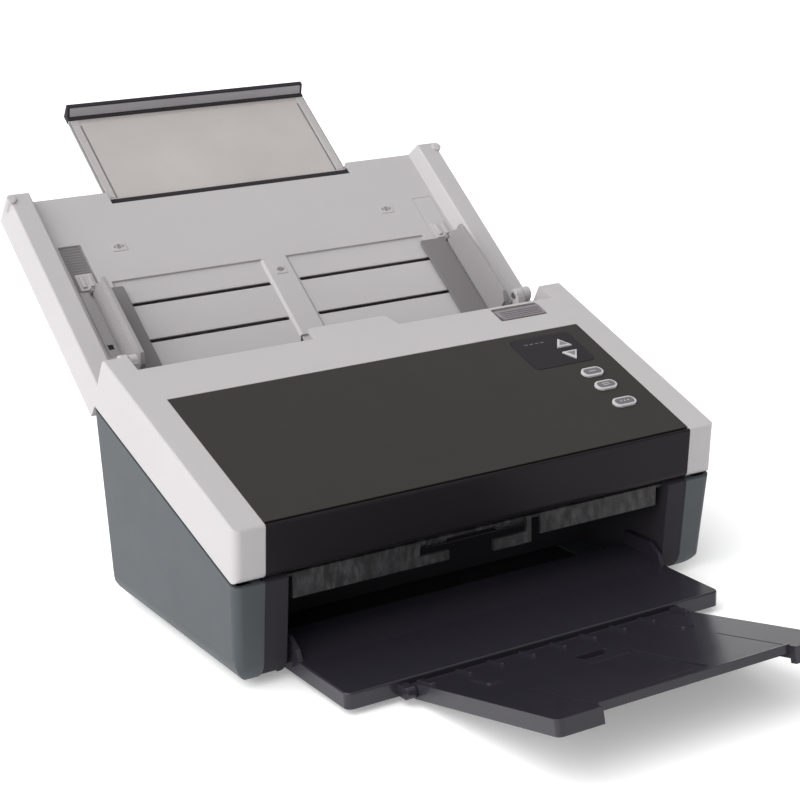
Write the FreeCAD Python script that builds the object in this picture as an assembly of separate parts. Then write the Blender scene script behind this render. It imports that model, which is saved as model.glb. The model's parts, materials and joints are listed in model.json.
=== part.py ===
import FreeCAD, Part
import math
import os

V = FreeCAD.Vector

# A sheet fed document scanner, in millimetres and degrees. X runs across the scanner, Y from
# its front to its rear and Z up from the table. The sizes below are measured from the front
# top edge of the cover; export() moves the model so that its origin lies under its middle.

# Body
HALF_WIDTH = 158.0
WALL = 2.5
TABLE_GAP = 1.6
FLOOR = 1.8
COVER_FRONT_Z = 92.8
COVER_SLOPE = 20.18
COVER_REAR = (153.0, 149.1)
COVER_HEEL = (170.0, 118.4)
SEAM_FRONT = (2.6, 60.8)
SEAM_SLOPE = 19.0
SEAM_GAP = 0.3
FRONT_LEAN = 0.11
REAR_LEAN = 0.018
SIDE_DRAFT = 0.04
CORNER_R = 5.0
COVER_CORNER_R = 4.5
UNDER_R = 16.0

# Exit cavity between the base's two front columns
CAVITY_HALF = 126.0
CAVITY_REAR = 84.0
CAVITY_TOP = 44.0
CHEEK = 2.3
JAMB_DEPTH = 12.0
JAMB_GAP = 0.2

# Dark panel in the light cover
PANEL_HALF = 139.5
PANEL_LENGTH = 116.8
PANEL_GAP = 0.25
REAR_STEP = 15.0
ARM_NOTCH = (130.4, 142.6)
INLET_HALF = 128.0
INLET_TOP = 131.0

# Cover hinge, close behind the cover's lower front edge
HINGE_INSET = 4.4
HINGE_PIN_R = 1.5
HINGE_EAR = (141.0, 145.6)
HINGE_BOSS = (146.0, 152.0)
RUNNING = 0.05

# Sheet path: depths below (negative) and above the seam plane
PATH_HALF = 122.0
LOWER_GUIDE_TOP = -2.3
UPPER_GUIDE_FOOT = -0.9
GUIDE_T = 2.0
NIP_DEPTH = -1.55
NIP_GAP = 0.15

# Rollers: place along the seam, tyre radius
EXIT_AT, EXIT_R = 19.0, 8.0
DRIVE_AT, DRIVE_R = 108.0, 8.0
FEED_AT, FEED_R = 150.0, 11.0
IDLER_R = 6.0
SEPARATION_R = 9.0
SHAFT_R = 3.0
IDLER_SHAFT_R = 2.0
TYRE_CENTRES = (-84.0, -28.0, 28.0, 84.0)
TYRE_WIDTH = 18.0
CHASSIS_X = (129.5, 131.3)
PULLEY_X = (-138.6, -134.0)
PULLEY_R = 7.0
FEED_PULLEY_R = 9.0
MOTOR_PULLEY_R = 5.0
MOTOR_AT = (122.0, 42.0)
BELT_GAP = 0.35
BELT_T = 1.2

# Scan modules
SCAN_HALF = 112.0
LOWER_SCAN_AT = 62.0
UPPER_SCAN_AT = 84.0
SCAN_WIDTH = 18.0

# Input tray, in its own plane: u across, v up the slope, h out of the floor
TRAY_SLOPE = 38.0
TRAY_ORIGIN = (205.54, 143.91)
TRAY_FOOT_V = -40.5
TRAY_REAR_V = 113.5
NOTCH_V = 104.0
NOTCH_HALF = 86.5
RAIL = (136.0, 140.0, 154.0)
RAIL_TOP = 9.0
KNOB_R = 3.2
KNOB_H = (1.0, 10.6)
TRAY_FLOOR_T = 2.2
TRAY_DEPTH = 14.0
TRAY_PIVOT = (165.0, 141.5)
TRAY_PIN_R = 2.0
ARM_U = (137.4, 141.8)
EAR_U = (131.6, 137.0)
BRACKET_R = 3.9
BRACKET_V = (39.2, 52.0)
WINDOW_U = (10.0, 111.0)
WINDOW_V = (-39.0, 43.5)
WINDOW_DEPTH = 1.2
BAR_END_V = -19.0
SLOTS_V = (24.5, -4.0)
SLOT_W = 2.6
RACK_V = 10.25
PINION_R = 9.0

# Paper guides
GUIDE_FACE = 125.0
GUIDE_WALL = 2.4
GUIDE_H = 24.0
GUIDE_V = (-34.0, 34.0)
GUIDE_PIVOT_H = 2.8

# Tray extension
EXTENSION_HALF = 86.0
EXTENSION_TOP = -3.6
EXTENSION_T = 2.2
EXTENSION_V = (97.0, 187.0)
BAR_V = (104.4, 109.6)
BAR_T = 1.1

# Output tray and its flap
OUT_HALF = 122.5
OUT_FRONT = -48.0
OUT_REAR = 36.0
OUT_TOP = 12.7
OUT_FOOT = 3.8
FLAP_HALF = 86.0
FLAP_SLOPE = 12.65
FLAP_HINGE = (-48.6, 10.8)
FLAP_LENGTH = 130.6
FLAP_T = 8.6
FLAP_PIN_R = 1.5
FLAP_PIVOT = (-4.6, -4.3)
STOPPER_HALF = 15.0
STOPPER = (-118.0, -51.0)

# Controls on the cover, as (x, s) with s measured up the cover's slope
UP_MARK = [(116.0, 104.3), (110.6, 96.4), (121.4, 96.4)]
DOWN_MARK = [(110.6, 91.2), (121.4, 91.2), (116.0, 83.2)]
PILLS = {
    "simplex_button": (109.0, 124.0, 63.7, 71.9),
    "duplex_button": (109.0, 124.0, 49.6, 57.8),
    "function_button": (109.0, 125.0, 31.5, 39.6),
}
WINDOW = (84.0, 128.5, 79.5, 111.5)
LATCH = (94.5, 127.5, 133.0, 143.2)

# Fittings inside the body
EAR_R = 3.4
NECK_REACH = 7.4
NECK_ROOT = 10.0
NECK_FRONT = 2.9
LIP_KEPT = 2.1
LEDGE_X = 141.8
COLUMN_DEPTH = 26.0
CAVITY_FRONT = 16.0
PLATE_X = 112.0
PLATE_Y = (36.0, 146.0)
PLATE_TOP = 2.4
SCREW_R = 1.2
SCREW_HEAD_R = 2.4
BOSS_R = 3.0
FOOT_X = 126.0
FOOT_Y = (36.0, 146.0)
FOOT_R = 7.0
BOARD_X = (-90.0, 118.0)
BOARD_Y = (92.0, 162.0)
BOARD_Z = 20.0
JACK_X = (104.0, 114.0)
USB_X = (80.0, 92.0)
PORT_Z = (21.6, 33.0)
PORT_Y = 167.9
PORT_GAP = 0.4
JACK_R = 2.75
JACK_DEPTH = 9.0
MOTOR_END = -96.0
MOTOR_R = 13.5
MOTOR_SHAFT_R = 2.5
BUSH_R = 5.0
DECK = (LOWER_GUIDE_TOP - GUIDE_T, LOWER_GUIDE_TOP)
DECK_FRONT = 4.8
DECK_LIP_Y = 8.0
LIP_T = 2.2
DECK_TOP_Z = 62.0
EXIT_LIPS = (
    ((-121.0, -23.0), (46.0, 51.5)),
    ((-121.0, -42.0), (51.0, DECK_TOP_Z)),
    ((6.5, 32.0), (44.5, 51.0)),
    ((29.0, 32.0), (50.5, DECK_TOP_Z)),
    ((38.5, 121.0), (48.0, DECK_TOP_Z)),
)
ROLLER_DEPTH = NIP_DEPTH - NIP_GAP - DRIVE_R
FEED_DEPTH = NIP_DEPTH - NIP_GAP - FEED_R
IDLER_DEPTH = NIP_DEPTH + NIP_GAP + IDLER_R
SEPARATION_DEPTH = NIP_DEPTH + NIP_GAP + SEPARATION_R
ROLLER_AXES = {
    "exit": (EXIT_AT, ROLLER_DEPTH),
    "drive": (DRIVE_AT, ROLLER_DEPTH),
    "feed": (FEED_AT, FEED_DEPTH),
}
PULLEYS = {"exit": PULLEY_R, "drive": PULLEY_R, "feed": FEED_PULLEY_R}
FEED_CENTRES = (-28.0, 28.0)

# Fittings inside the cover
LIP_ALONG = 9.0
NOTCH_Y = 150.0
RIB_X = (140.5, 142.5)
GUIDE_FLANGE = (1.1, 3.1)
BUTTON_GAP = 0.35
BUTTON_BOARD = (-9.5, -8.2)
BOARD_POSTS = ((92.0, 32.0), (128.0, 44.0), (92.0, 74.0), (103.0, 76.0))
WINDOW_T = 1.4
LATCH_AXIS = (144.5, -2.2)
LATCH_PIN_R = 1.2
ARROWS = ("up_button", "down_button")
BUTTONS = ARROWS + tuple(PILLS)

# Fittings of the trays
CENTRE_Y = 89.52
BAR_CHAMFER = 1.8
BACK_T = 1.8
PINION_POST_R = 2.5
PINION_TEETH = 18
RACK_H = (-11.5, -7.0)
RACK_BACK = 6.3
TOOTH_PITCH = 2 * math.pi * PINION_R / PINION_TEETH
TOOTH_ADD = 0.75
TOOTH_DED = 1.25
TOOTH_TIP_W = 0.6
TOOTH_ROOT_W = 1.9
SLIDER_V = (-37.0, 38.0)
SLIDER_TOP = 1.4
LUG_T = 2.6
GUIDE_AXIS = GUIDE_FACE + GUIDE_WALL / 2
GUIDE_PIN_R = 0.8
LIP_TOP = 3.0
OUT_CHEEK_Y = 0.0
LUG_X = (86.5, 92.0)
LUG_R = 3.4
LUG_CAP = 1.2
STOPPER_WELL = 4.5
STOPPER_AXIS = (-116.0, -2.3)
FLAP_STUB = 59.5
FLAP_EDGE_T = 3.2
FLAP_RIBS = (-60, -40, -20, 0, 20, 40, 60)
LOWER_SCAN_Z = (-15.1, -4.1)
UPPER_SCAN_Z = (1.0, 12.0)

PARTS = {}


def frame(y, z, tilt):
    return FreeCAD.Placement(V(0, y, z), FreeCAD.Rotation(V(1, 0, 0), tilt))


COVER = frame(0, COVER_FRONT_Z, COVER_SLOPE)
SEAM = frame(SEAM_FRONT[0], SEAM_FRONT[1], SEAM_SLOPE)
TRAY = frame(TRAY_ORIGIN[0], TRAY_ORIGIN[1], TRAY_SLOPE)
FLAP = frame(FLAP_HINGE[0], FLAP_HINGE[1], -FLAP_SLOPE)


def put(shape, where):
    """The shape, built in one of the frames above, at its place in the scanner."""
    placed = shape.copy()
    placed.Placement = where.multiply(placed.Placement)
    return placed


def inside(where, y, z):
    """A point of the scanner's side view, as (y, z) in a frame."""
    point = where.inverse().multVec(V(0, y, z))
    return point.y, point.z


def box(x, y, z):
    return Part.makeBox(x[1] - x[0], y[1] - y[0], z[1] - z[0], V(x[0], y[0], z[0]))


def rod(x, y, z, r):
    """A round bar along X."""
    return Part.makeCylinder(r, x[1] - x[0], V(x[0], y, z), V(1, 0, 0))


def side_prism(points, x):
    """A side outline, as (y, z) points, stretched across x."""
    outline = Part.makePolygon([V(x[0], y, z) for y, z in points + points[:1]])
    return Part.Face(outline).extrude(V(x[1] - x[0], 0, 0))


def plan_prism(points, z):
    """A plan outline, as (x, y) points, stretched up."""
    outline = Part.makePolygon([V(px, py, z[0]) for px, py in points + points[:1]])
    return Part.Face(outline).extrude(V(0, 0, z[1] - z[0]))


def join(shapes):
    whole = shapes[0].multiFuse(shapes[1:]) if len(shapes) > 1 else shapes[0]
    return whole.removeSplitter()


def mirrored(shape):
    return shape.mirror(V(0, 0, 0), V(1, 0, 0))


def both_sides(shape):
    return [shape, mirrored(shape)]


def runs_along(edge, direction):
    start = edge.tangentAt(edge.FirstParameter)
    end = edge.tangentAt(edge.LastParameter)
    return abs(start.dot(direction)) > 0.97 and abs(end.dot(direction)) > 0.97


def rounded(shape, r, direction, keep=None):
    """The shape with its edges along a direction rounded, all or those that keep() picks."""
    edges = [
        e for e in shape.Edges
        if runs_along(e, direction) and (keep is None or keep(e.CenterOfMass))
    ]
    return shape.makeFillet(r, edges) if edges else shape


def plate(x, y, z, r):
    """A box with its four upright edges rounded."""
    return rounded(box(x, y, z), r, V(0, 0, 1))


def tube(x, y, z, outer, inner):
    return rod(x, y, z, outer).cut(rod(x, y, z, inner))


def solids(shapes):
    return Part.makeCompound([s for shape in shapes for s in shape.Solids])


def seam_z(y):
    return SEAM_FRONT[1] + math.tan(math.radians(SEAM_SLOPE)) * (y - SEAM_FRONT[0])


def seam_point(along, depth):
    point = SEAM.multVec(V(0, along, depth))
    return point.y, point.z


# ---------------------------------------------------------------- base


def base_envelope(inset, bottom, lift):
    """The base's outside drawn in by inset: leaning walls and a rounded underside."""
    rise = math.tan(math.radians(SEAM_SLOPE))
    top_front = SEAM_FRONT[0] + (inset - FRONT_LEAN * lift) / (1 + FRONT_LEAN * rise)
    top_rear = COVER_HEEL[0] + (REAR_LEAN * lift - inset) / (1 - REAR_LEAN * rise)
    low_front = SEAM_FRONT[0] + FRONT_LEAN * (SEAM_FRONT[1] - bottom) + inset
    low_rear = COVER_HEEL[0] - REAR_LEAN * (COVER_HEEL[1] - bottom) - inset
    wide = (-HALF_WIDTH - 5, HALF_WIDTH + 5)

    def side(y, z):
        return V(HALF_WIDTH - inset - SIDE_DRAFT * (seam_z(y) - z), y, z)

    solid = side_prism([(low_front, bottom), (low_rear, bottom),
                        (top_rear, seam_z(top_rear) + lift),
                        (top_front, seam_z(top_front) + lift)], wide)
    reach = [side(y, z) for y, z in ((-20, -20), (200, -20), (200, 200), (-20, 200))]
    outside = Part.Face(Part.makePolygon(reach + reach[:1])).extrude(V(40, 0, 0))
    solid = solid.cut(both_sides(outside))
    solid = rounded(solid, max(CORNER_R - inset, 1.5), V(0, 0, 1))
    r = UNDER_R - inset
    tunnel = side_prism([(low_front, bottom), (low_rear, bottom), (low_rear + 4, bottom + 160),
                         (low_front - 20, bottom + 160)], wide)
    solid = solid.common(rounded(tunnel, r, V(1, 0, 0), lambda c: c.z < bottom + 1))
    middle = (low_front + low_rear) / 2
    corner = box((0, r + 5), (-150, 150), (-5, r))
    corner = corner.cut(Part.makeCylinder(r, 300, V(0, -150, r), V(0, 1, 0)))
    corner.rotate(V(0, 0, 0), V(0, 0, 1), math.degrees(math.atan(SIDE_DRAFT * rise)))
    corner.translate(V(side(middle, bottom).x - r, middle, bottom))
    return solid.cut(both_sides(corner))


def base_housing():
    shell = base_envelope(0, TABLE_GAP, -SEAM_GAP)
    shell = shell.cut(base_envelope(WALL, TABLE_GAP + FLOOR, WALL * 2))
    y, z = hinge_at()
    ears = join([rod(HINGE_EAR, y, z, EAR_R), put(side_prism(ear_neck(), HINGE_EAR), SEAM)])
    ledge = put(box((LEDGE_X, HALF_WIDTH - WALL), (10, 172), (-WALL, -SEAM_GAP)), SEAM)
    shell = join([shell] + both_sides(ears.cut(rod(HINGE_EAR, y, z, HINGE_PIN_R))) + both_sides(ledge))
    shell = shell.common(join([base_envelope(0, TABLE_GAP, -SEAM_GAP)] + both_sides(ears)))
    openings = [
        box((-PANEL_HALF, PANEL_HALF), (-5, COLUMN_DEPTH), (0, COVER_FRONT_Z)),
        plate((-PLATE_X, PLATE_X), PLATE_Y, (0, PLATE_TOP), 4),
        plate((-PLATE_X + 6, PLATE_X - 6), (PLATE_Y[0] + 6, PLATE_Y[1] - 6), (0, 10), 3),
        box((JACK_X[0] - PORT_GAP, JACK_X[1] + PORT_GAP), (160, 175),
            (PORT_Z[0] - PORT_GAP, PORT_Z[1] + PORT_GAP)),
        box((USB_X[0] - PORT_GAP, USB_X[1] + PORT_GAP), (160, 175),
            (PORT_Z[0] - PORT_GAP, PORT_Z[1] + PORT_GAP)),
    ]
    shell = shell.cut(openings)
    bosses = [
        Part.makeCylinder(BOSS_R, 5, V(x, y, PLATE_TOP)) for x, y in screw_places()
    ]
    shell = join([shell] + bosses)
    return shell.cut([Part.makeCylinder(SCREW_R, 10, V(x, y, 0)) for x, y in screw_places()])


def ear_neck():
    """The hinge ear's neck: it leaves the axis rearwards, clear of the cover's turning lip."""
    y, z = inside(SEAM, *hinge_at())
    rim = -SEAM_GAP
    return [(y, z + EAR_R - 0.1), (y + NECK_REACH, z + 1), (y + NECK_REACH, rim - NECK_ROOT),
            (y - EAR_R, rim - NECK_ROOT), (y - EAR_R, rim), (y + NECK_FRONT, rim),
            (y + NECK_FRONT, z - EAR_R - 0.6), (y + 1.2, z - 1)]


def screw_places():
    return [(x, y) for x in (-PLATE_X + 3, PLATE_X - 3) for y in (PLATE_Y[0] + 3, PLATE_Y[1] - 3)]


def bottom_plate():
    body = plate((-PLATE_X + 0.3, PLATE_X - 0.3), (PLATE_Y[0] + 0.3, PLATE_Y[1] - 0.3),
                 (TABLE_GAP, PLATE_TOP), 4)
    body = body.cut([Part.makeCylinder(SCREW_R, 5, V(x, y, 0)) for x, y in screw_places()])
    vents = [
        plate((x, x + 24), (y, y + 2.4), (0, 5), 1.1)
        for x in range(-84, 61, 36) for y in range(112, 137, 6)
    ]
    posts = [
        Part.makeCylinder(3, BOARD_Z - TABLE_GAP, V(x, y, TABLE_GAP))
        for x in (BOARD_X[0] + 8, BOARD_X[1] - 16) for y in (BOARD_Y[0] + 6, BOARD_Y[1] - 28)
    ]
    return join([body.cut(vents)] + posts)


def bottom_screws():
    screws = []
    for x, y in screw_places():
        head = Part.makeCylinder(SCREW_HEAD_R, 0.7, V(x, y, TABLE_GAP - 0.7))
        stem = Part.makeCylinder(SCREW_R, 6, V(x, y, TABLE_GAP - 0.1))
        slot = box((x - 2, x + 2), (y - 0.35, y + 0.35), (0, TABLE_GAP - 0.4))
        screws.append(head.fuse(stem).removeSplitter().cut(slot))
    return solids(screws)


def rubber_feet():
    pads = []
    for x in (-FOOT_X, FOOT_X):
        for y in FOOT_Y:
            pad = Part.makeCylinder(FOOT_R, TABLE_GAP, V(x, y, 0))
            low = [e for e in pad.Edges if e.CenterOfMass.z < 0.1 and len(e.Vertexes) == 1]
            pads.append(pad.makeFillet(0.5, low))
    return solids(pads)


def cavity_liner():
    roof = [(CAVITY_FRONT, 54), (34, CAVITY_TOP + 6), (CAVITY_REAR, CAVITY_TOP + 6),
            (CAVITY_REAR, TABLE_GAP + FLOOR + 0.1), (CAVITY_REAR - 2, TABLE_GAP + FLOOR + 0.1),
            (CAVITY_REAR - 2, CAVITY_TOP + 4), (33.4, CAVITY_TOP + 4), (CAVITY_FRONT, 52)]
    across = (-CAVITY_HALF - CHEEK, CAVITY_HALF + CHEEK)
    cheek = [(CAVITY_FRONT - 4, 26), (CAVITY_FRONT - 4, 57), (34, 60), (CAVITY_REAR, 60),
             (CAVITY_REAR, TABLE_GAP + FLOOR + 0.1), (30, TABLE_GAP + FLOOR + 0.1)]
    cheek = side_prism(cheek, (CAVITY_HALF, CAVITY_HALF + CHEEK))
    jamb = base_envelope(0, TABLE_GAP, -SEAM_GAP).common(
        box((CAVITY_HALF, PANEL_HALF - JAMB_GAP), (-5, CAVITY_FRONT), (0, COVER_FRONT_Z)))
    jamb = jamb.cut(box((CAVITY_HALF + CHEEK, HALF_WIDTH), (JAMB_DEPTH, HALF_WIDTH), (0, COVER_FRONT_Z)))
    body = join([side_prism(roof, across)] + both_sides(cheek) + both_sides(jamb))
    return body.cut(both_sides(rod((-HALF_WIDTH, HALF_WIDTH), *seam_point(EXIT_AT, ROLLER_DEPTH), 9.2)))


def chassis(sign):
    """One side plate of the drive, bored for the roller bushes."""
    low = TABLE_GAP + FLOOR + 0.1
    corners = [(30, low), (17, 18), (17, HALF_WIDTH), (158, HALF_WIDTH), (158, 20), (146, low)]
    under = [seam_point(0, DECK[0] - 0.1), seam_point(180, DECK[0] - 0.1), (200, -50), (-50, -50)]
    body = side_prism(corners, CHASSIS_X).common(side_prism(under, CHASSIS_X))
    bores = [rod(CHASSIS_X, *seam_point(*axis), BUSH_R) for axis in ROLLER_AXES.values()]
    bores += [side_prism([(58, 20), (90, 20), (78, 50), (66, 50)], CHASSIS_X)]
    bores += [rod(CHASSIS_X, *MOTOR_AT, 4.0)]
    body = body.cut(bores)
    return body if sign > 0 else mirrored(body)


def shaft_bearings():
    bush = [
        tube((CHASSIS_X[0] - 0.8, CHASSIS_X[1] + 0.8), *seam_point(*axis), BUSH_R, SHAFT_R + RUNNING)
        for axis in ROLLER_AXES.values()
    ]
    return solids(bush + [mirrored(b) for b in bush])


def tyre_windows(rows, half, reach):
    """Openings in a guide for rows of tyres, each row as (along, places, half length)."""
    return [
        box((x - half, x + half), (along - length, along + length), reach)
        for along, places, length in rows for x in places
    ]


def lower_paper_guide():
    deck = box((-CHASSIS_X[0], CHASSIS_X[0]), (DECK_FRONT, 168), DECK)
    lips = [box(x, (DECK_LIP_Y, DECK_LIP_Y + LIP_T), z) for x, z in EXIT_LIPS]
    below = side_prism([seam_point(-5, DECK[1]), seam_point(190, DECK[1]), (190, -50), (-20, -50)],
                       (-HALF_WIDTH, HALF_WIDTH))
    body = join([put(deck, SEAM)] + [piece.common(below) for piece in lips])
    windows = tyre_windows(((EXIT_AT, TYRE_CENTRES, 7.0), (DRIVE_AT, TYRE_CENTRES, 7.0),
                            (FEED_AT, FEED_CENTRES, 9.5)), TYRE_WIDTH / 2 + 1.2, (-8, 2))
    windows.append(box((-SCAN_HALF - 0.2, SCAN_HALF + 0.2),
                       (LOWER_SCAN_AT - SCAN_WIDTH / 2 - 0.2, LOWER_SCAN_AT + SCAN_WIDTH / 2 + 0.2),
                       (-8, 2)))
    grooves = [box((x - 1.0, x + 1.0), (32, 50), (DECK[1] - 0.6, 2)) for x in range(-105, 106, 15)]
    jambs = both_sides(box((CAVITY_HALF - JAMB_GAP, HALF_WIDTH), (-5, CAVITY_FRONT + JAMB_GAP),
                           (0, COVER_FRONT_Z)))
    return body.cut([put(w, SEAM) for w in windows + grooves] + jambs)


def scan_module(at, z, side):
    """A contact image sensor: a long bar with a shallow step along both edges."""
    body = box((-SCAN_HALF, SCAN_HALF), (at - SCAN_WIDTH / 2, at + SCAN_WIDTH / 2), z)
    far = z[0] if side < 0 else z[1]
    band = (far, far + 3) if side < 0 else (far - 3, far)
    steps = [
        box((-SCAN_HALF, SCAN_HALF), (at + a, at + b), band)
        for a, b in ((-SCAN_WIDTH / 2, -SCAN_WIDTH / 2 + 2.5), (SCAN_WIDTH / 2 - 2.5, SCAN_WIDTH / 2))
    ]
    return put(body.cut(steps), SEAM)


def glass(at, z):
    return put(box((-SCAN_HALF, SCAN_HALF), (at - SCAN_WIDTH / 2, at + SCAN_WIDTH / 2), z), SEAM)


def drive_motor():
    y, z = MOTOR_AT
    can = rod((-CHASSIS_X[0] + 2, MOTOR_END), y, z, MOTOR_R)
    flange = box((-CHASSIS_X[0], -CHASSIS_X[0] + 2), (y - 15, y + 15), (z - 15, z + 15))
    tail = rod((MOTOR_END, MOTOR_END + 3), y, z, 5)
    body = join([can, flange, tail])
    return body.cut(rod((-CHASSIS_X[0], -CHASSIS_X[0] + 8), y, z, MOTOR_SHAFT_R + 0.06))


def pulley_circles():
    circles = [(*seam_point(*ROLLER_AXES[name]), r) for name, r in PULLEYS.items()]
    return circles + [(*MOTOR_AT, MOTOR_PULLEY_R)]


def hull(circles):
    """The outline of a band stretched round some circles, as a closed wire in the YZ plane."""
    dots = []
    for y, z, r in circles:
        dots += [(y + r * math.cos(a), z + r * math.sin(a))
                 for a in (math.radians(3 * k) for k in range(120))]
    dots = sorted(set(dots))
    rings = []
    for ordered in (dots, dots[::-1]):
        chain = []
        for dot in ordered:
            while len(chain) > 1 and turn(chain[-2], chain[-1], dot) <= 0:
                chain.pop()
            chain.append(dot)
        rings += chain[:-1]
    return rings


def turn(a, b, c):
    return (b[0] - a[0]) * (c[1] - a[1]) - (b[1] - a[1]) * (c[0] - a[0])


def drive_belt():
    loops = [
        side_prism(hull([(y, z, r + gap) for y, z, r in pulley_circles()]), PULLEY_X)
        for gap in (BELT_GAP + BELT_T, BELT_GAP)
    ]
    return loops[0].cut(loops[1])


def main_board():
    board = box(BOARD_X, BOARD_Y, (BOARD_Z, BOARD_Z + 1.6))
    chips = [
        box((-40, -16), (100, 124), (BOARD_Z + 1.6, BOARD_Z + 3.4)),
        box((10, 24), (98, 110), (BOARD_Z + 1.6, BOARD_Z + 3.0)),
        box((34, 48), (98, 110), (BOARD_Z + 1.6, BOARD_Z + 3.0)),
        box((-76, -50), (128, 134), (BOARD_Z + 1.6, BOARD_Z + 8.0)),
        Part.makeCylinder(5, 12, V(84, 108, BOARD_Z + 1.6)),
        Part.makeCylinder(5, 12, V(98, 108, BOARD_Z + 1.6)),
    ]
    return join([board] + chips)


def power_jack():
    x = sum(JACK_X) / 2
    z = PORT_Z[0] + 6
    body = box(JACK_X, (BOARD_Y[1] - 16, PORT_Y), (BOARD_Z + 1.6, PORT_Z[1]))
    well = Part.makeCylinder(JACK_R, JACK_DEPTH, V(x, PORT_Y - JACK_DEPTH, z), V(0, 1, 0))
    pin = Part.makeCylinder(1.0, JACK_DEPTH - 1, V(x, PORT_Y - JACK_DEPTH - 0.5, z), V(0, 1, 0))
    return join([body.cut(well), pin])


def usb_port():
    x = sum(USB_X) / 2
    z = (BOARD_Z + 1.6 + PORT_Z[1]) / 2
    body = box(USB_X, (BOARD_Y[1] - 16, PORT_Y), (BOARD_Z + 1.6, PORT_Z[1]))
    well = box((x - 4.3, x + 4.3), (PORT_Y - 9, PORT_Y), (z - 3.9, z + 3.9))
    tongue = box((x - 2.8, x + 2.8), (PORT_Y - 9.5, PORT_Y - 1), (z - 1.6, z + 1.6))
    return join([body.cut(well), tongue])


def tray_hinge_bracket():
    y, z = TRAY_PIVOT
    foot = box(EAR_U, (160, 166.8), (86, z))
    head = rod(EAR_U, y, z, BRACKET_R)
    return join([foot, head]).cut(rod(EAR_U, y, z, TRAY_PIN_R))


def tray_hinge_pin():
    y, z = TRAY_PIVOT
    return rod((EAR_U[0] - 0.5, ARM_U[1] + 0.3), y, z, TRAY_PIN_R)


# ---------------------------------------------------------------- rollers


def roller_shaft(name, places):
    """A drive shaft with its pulley and a collar beside each tyre."""
    y, z = seam_point(*ROLLER_AXES[name])
    pieces = [rod((-140.0, CHASSIS_X[1] + 1.7), y, z, SHAFT_R),
              rod(PULLEY_X, y, z, PULLEYS[name])]
    for x in places:
        pieces += [rod((x - TYRE_WIDTH / 2 - 1, x - TYRE_WIDTH / 2), y, z, SHAFT_R + 1.4),
                   rod((x + TYRE_WIDTH / 2, x + TYRE_WIDTH / 2 + 1), y, z, SHAFT_R + 1.4)]
    return join(pieces)


def roller_tyres(name, r, places):
    y, z = seam_point(*ROLLER_AXES[name])
    half = TYRE_WIDTH / 2
    ring = tube((-half, half), y, z, r, SHAFT_R)
    grooves = [tube((x - 0.5, x + 0.5), y, z, r + 1, r - 0.6) for x in (-4.5, 0, 4.5)]
    ring = ring.cut(grooves)
    tyres = []
    for x in places:
        tyre = ring.copy()
        tyre.translate(V(x, 0, 0))
        tyres.append(tyre)
    return solids(tyres)


def idlers(along, depth, r, places, reach):
    """Free wheels on a thin shaft, held by the upper guide."""
    y, z = seam_point(along, depth)
    wheels = [rod((x - 7, x + 7), y, z, r) for x in places]
    return join([rod((-reach, reach), y, z, IDLER_SHAFT_R)] + wheels)


def motor_pulley():
    y, z = MOTOR_AT
    shaft = rod((-140.0, -CHASSIS_X[0] + 6), y, z, MOTOR_SHAFT_R)
    return join([shaft, rod(PULLEY_X, y, z, MOTOR_PULLEY_R)])


# ---------------------------------------------------------------- cover


def drawn_in(points, depths):
    """A convex outline with each side moved inward by its own depth."""
    lines = []
    for i, depth in enumerate(depths):
        (ay, az), (by, bz) = points[i], points[(i + 1) % len(points)]
        dy, dz = by - ay, bz - az
        length = math.hypot(dy, dz)
        lines.append((ay + dz / length * depth, az - dy / length * depth, dy, dz))
    corners = []
    for (py, pz, dy, dz), (qy, qz, ey, ez) in zip(lines[-1:] + lines[:-1], lines):
        t = ((qy - py) * ez - (qz - pz) * ey) / (dy * ez - dz * ey)
        corners.append((py + dy * t, pz + dz * t))
    return corners


def cover_outline(front, top, rear, bottom):
    corners = [SEAM_FRONT, (0, COVER_FRONT_Z), COVER_REAR, COVER_HEEL]
    return drawn_in(corners, [front, top, rear, bottom])


def hinge_at():
    """The cover's hinge axis, as (y, z): the same depth behind its front and above its foot."""
    return cover_outline(HINGE_INSET, 0, 0, SEAM_GAP + HINGE_INSET)[0]


def cover_block(half, inset):
    """The cover as a solid block, with the edges that run across it rounded."""
    block = side_prism(cover_outline(inset, inset, inset, SEAM_GAP + inset), (-half, half))
    across = V(1, 0, 0)
    block = rounded(block, HINGE_INSET - inset, across, lambda c: c.y < 10 and c.z < 70)
    if inset:
        return block
    block = rounded(block, 1.6, across, lambda c: c.y < 10 and c.z > 85)
    return rounded(block, 2.5, across, lambda c: c.y > 140 and c.z > 140)


def front_layer():
    """The region of the cover's front skin, with its turned-in lower edge."""
    back = cover_outline(WALL, -20, -20, WALL + SEAM_GAP)
    core = rounded(side_prism(back, (-HALF_WIDTH, HALF_WIDTH)), HINGE_INSET - WALL, V(1, 0, 0),
                   lambda c: c.y < 10 and c.z < 80)
    near = put(box((-HALF_WIDTH, HALF_WIDTH), (-10, LIP_ALONG), (-10, 60)), SEAM)
    return near.cut(core)


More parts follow.
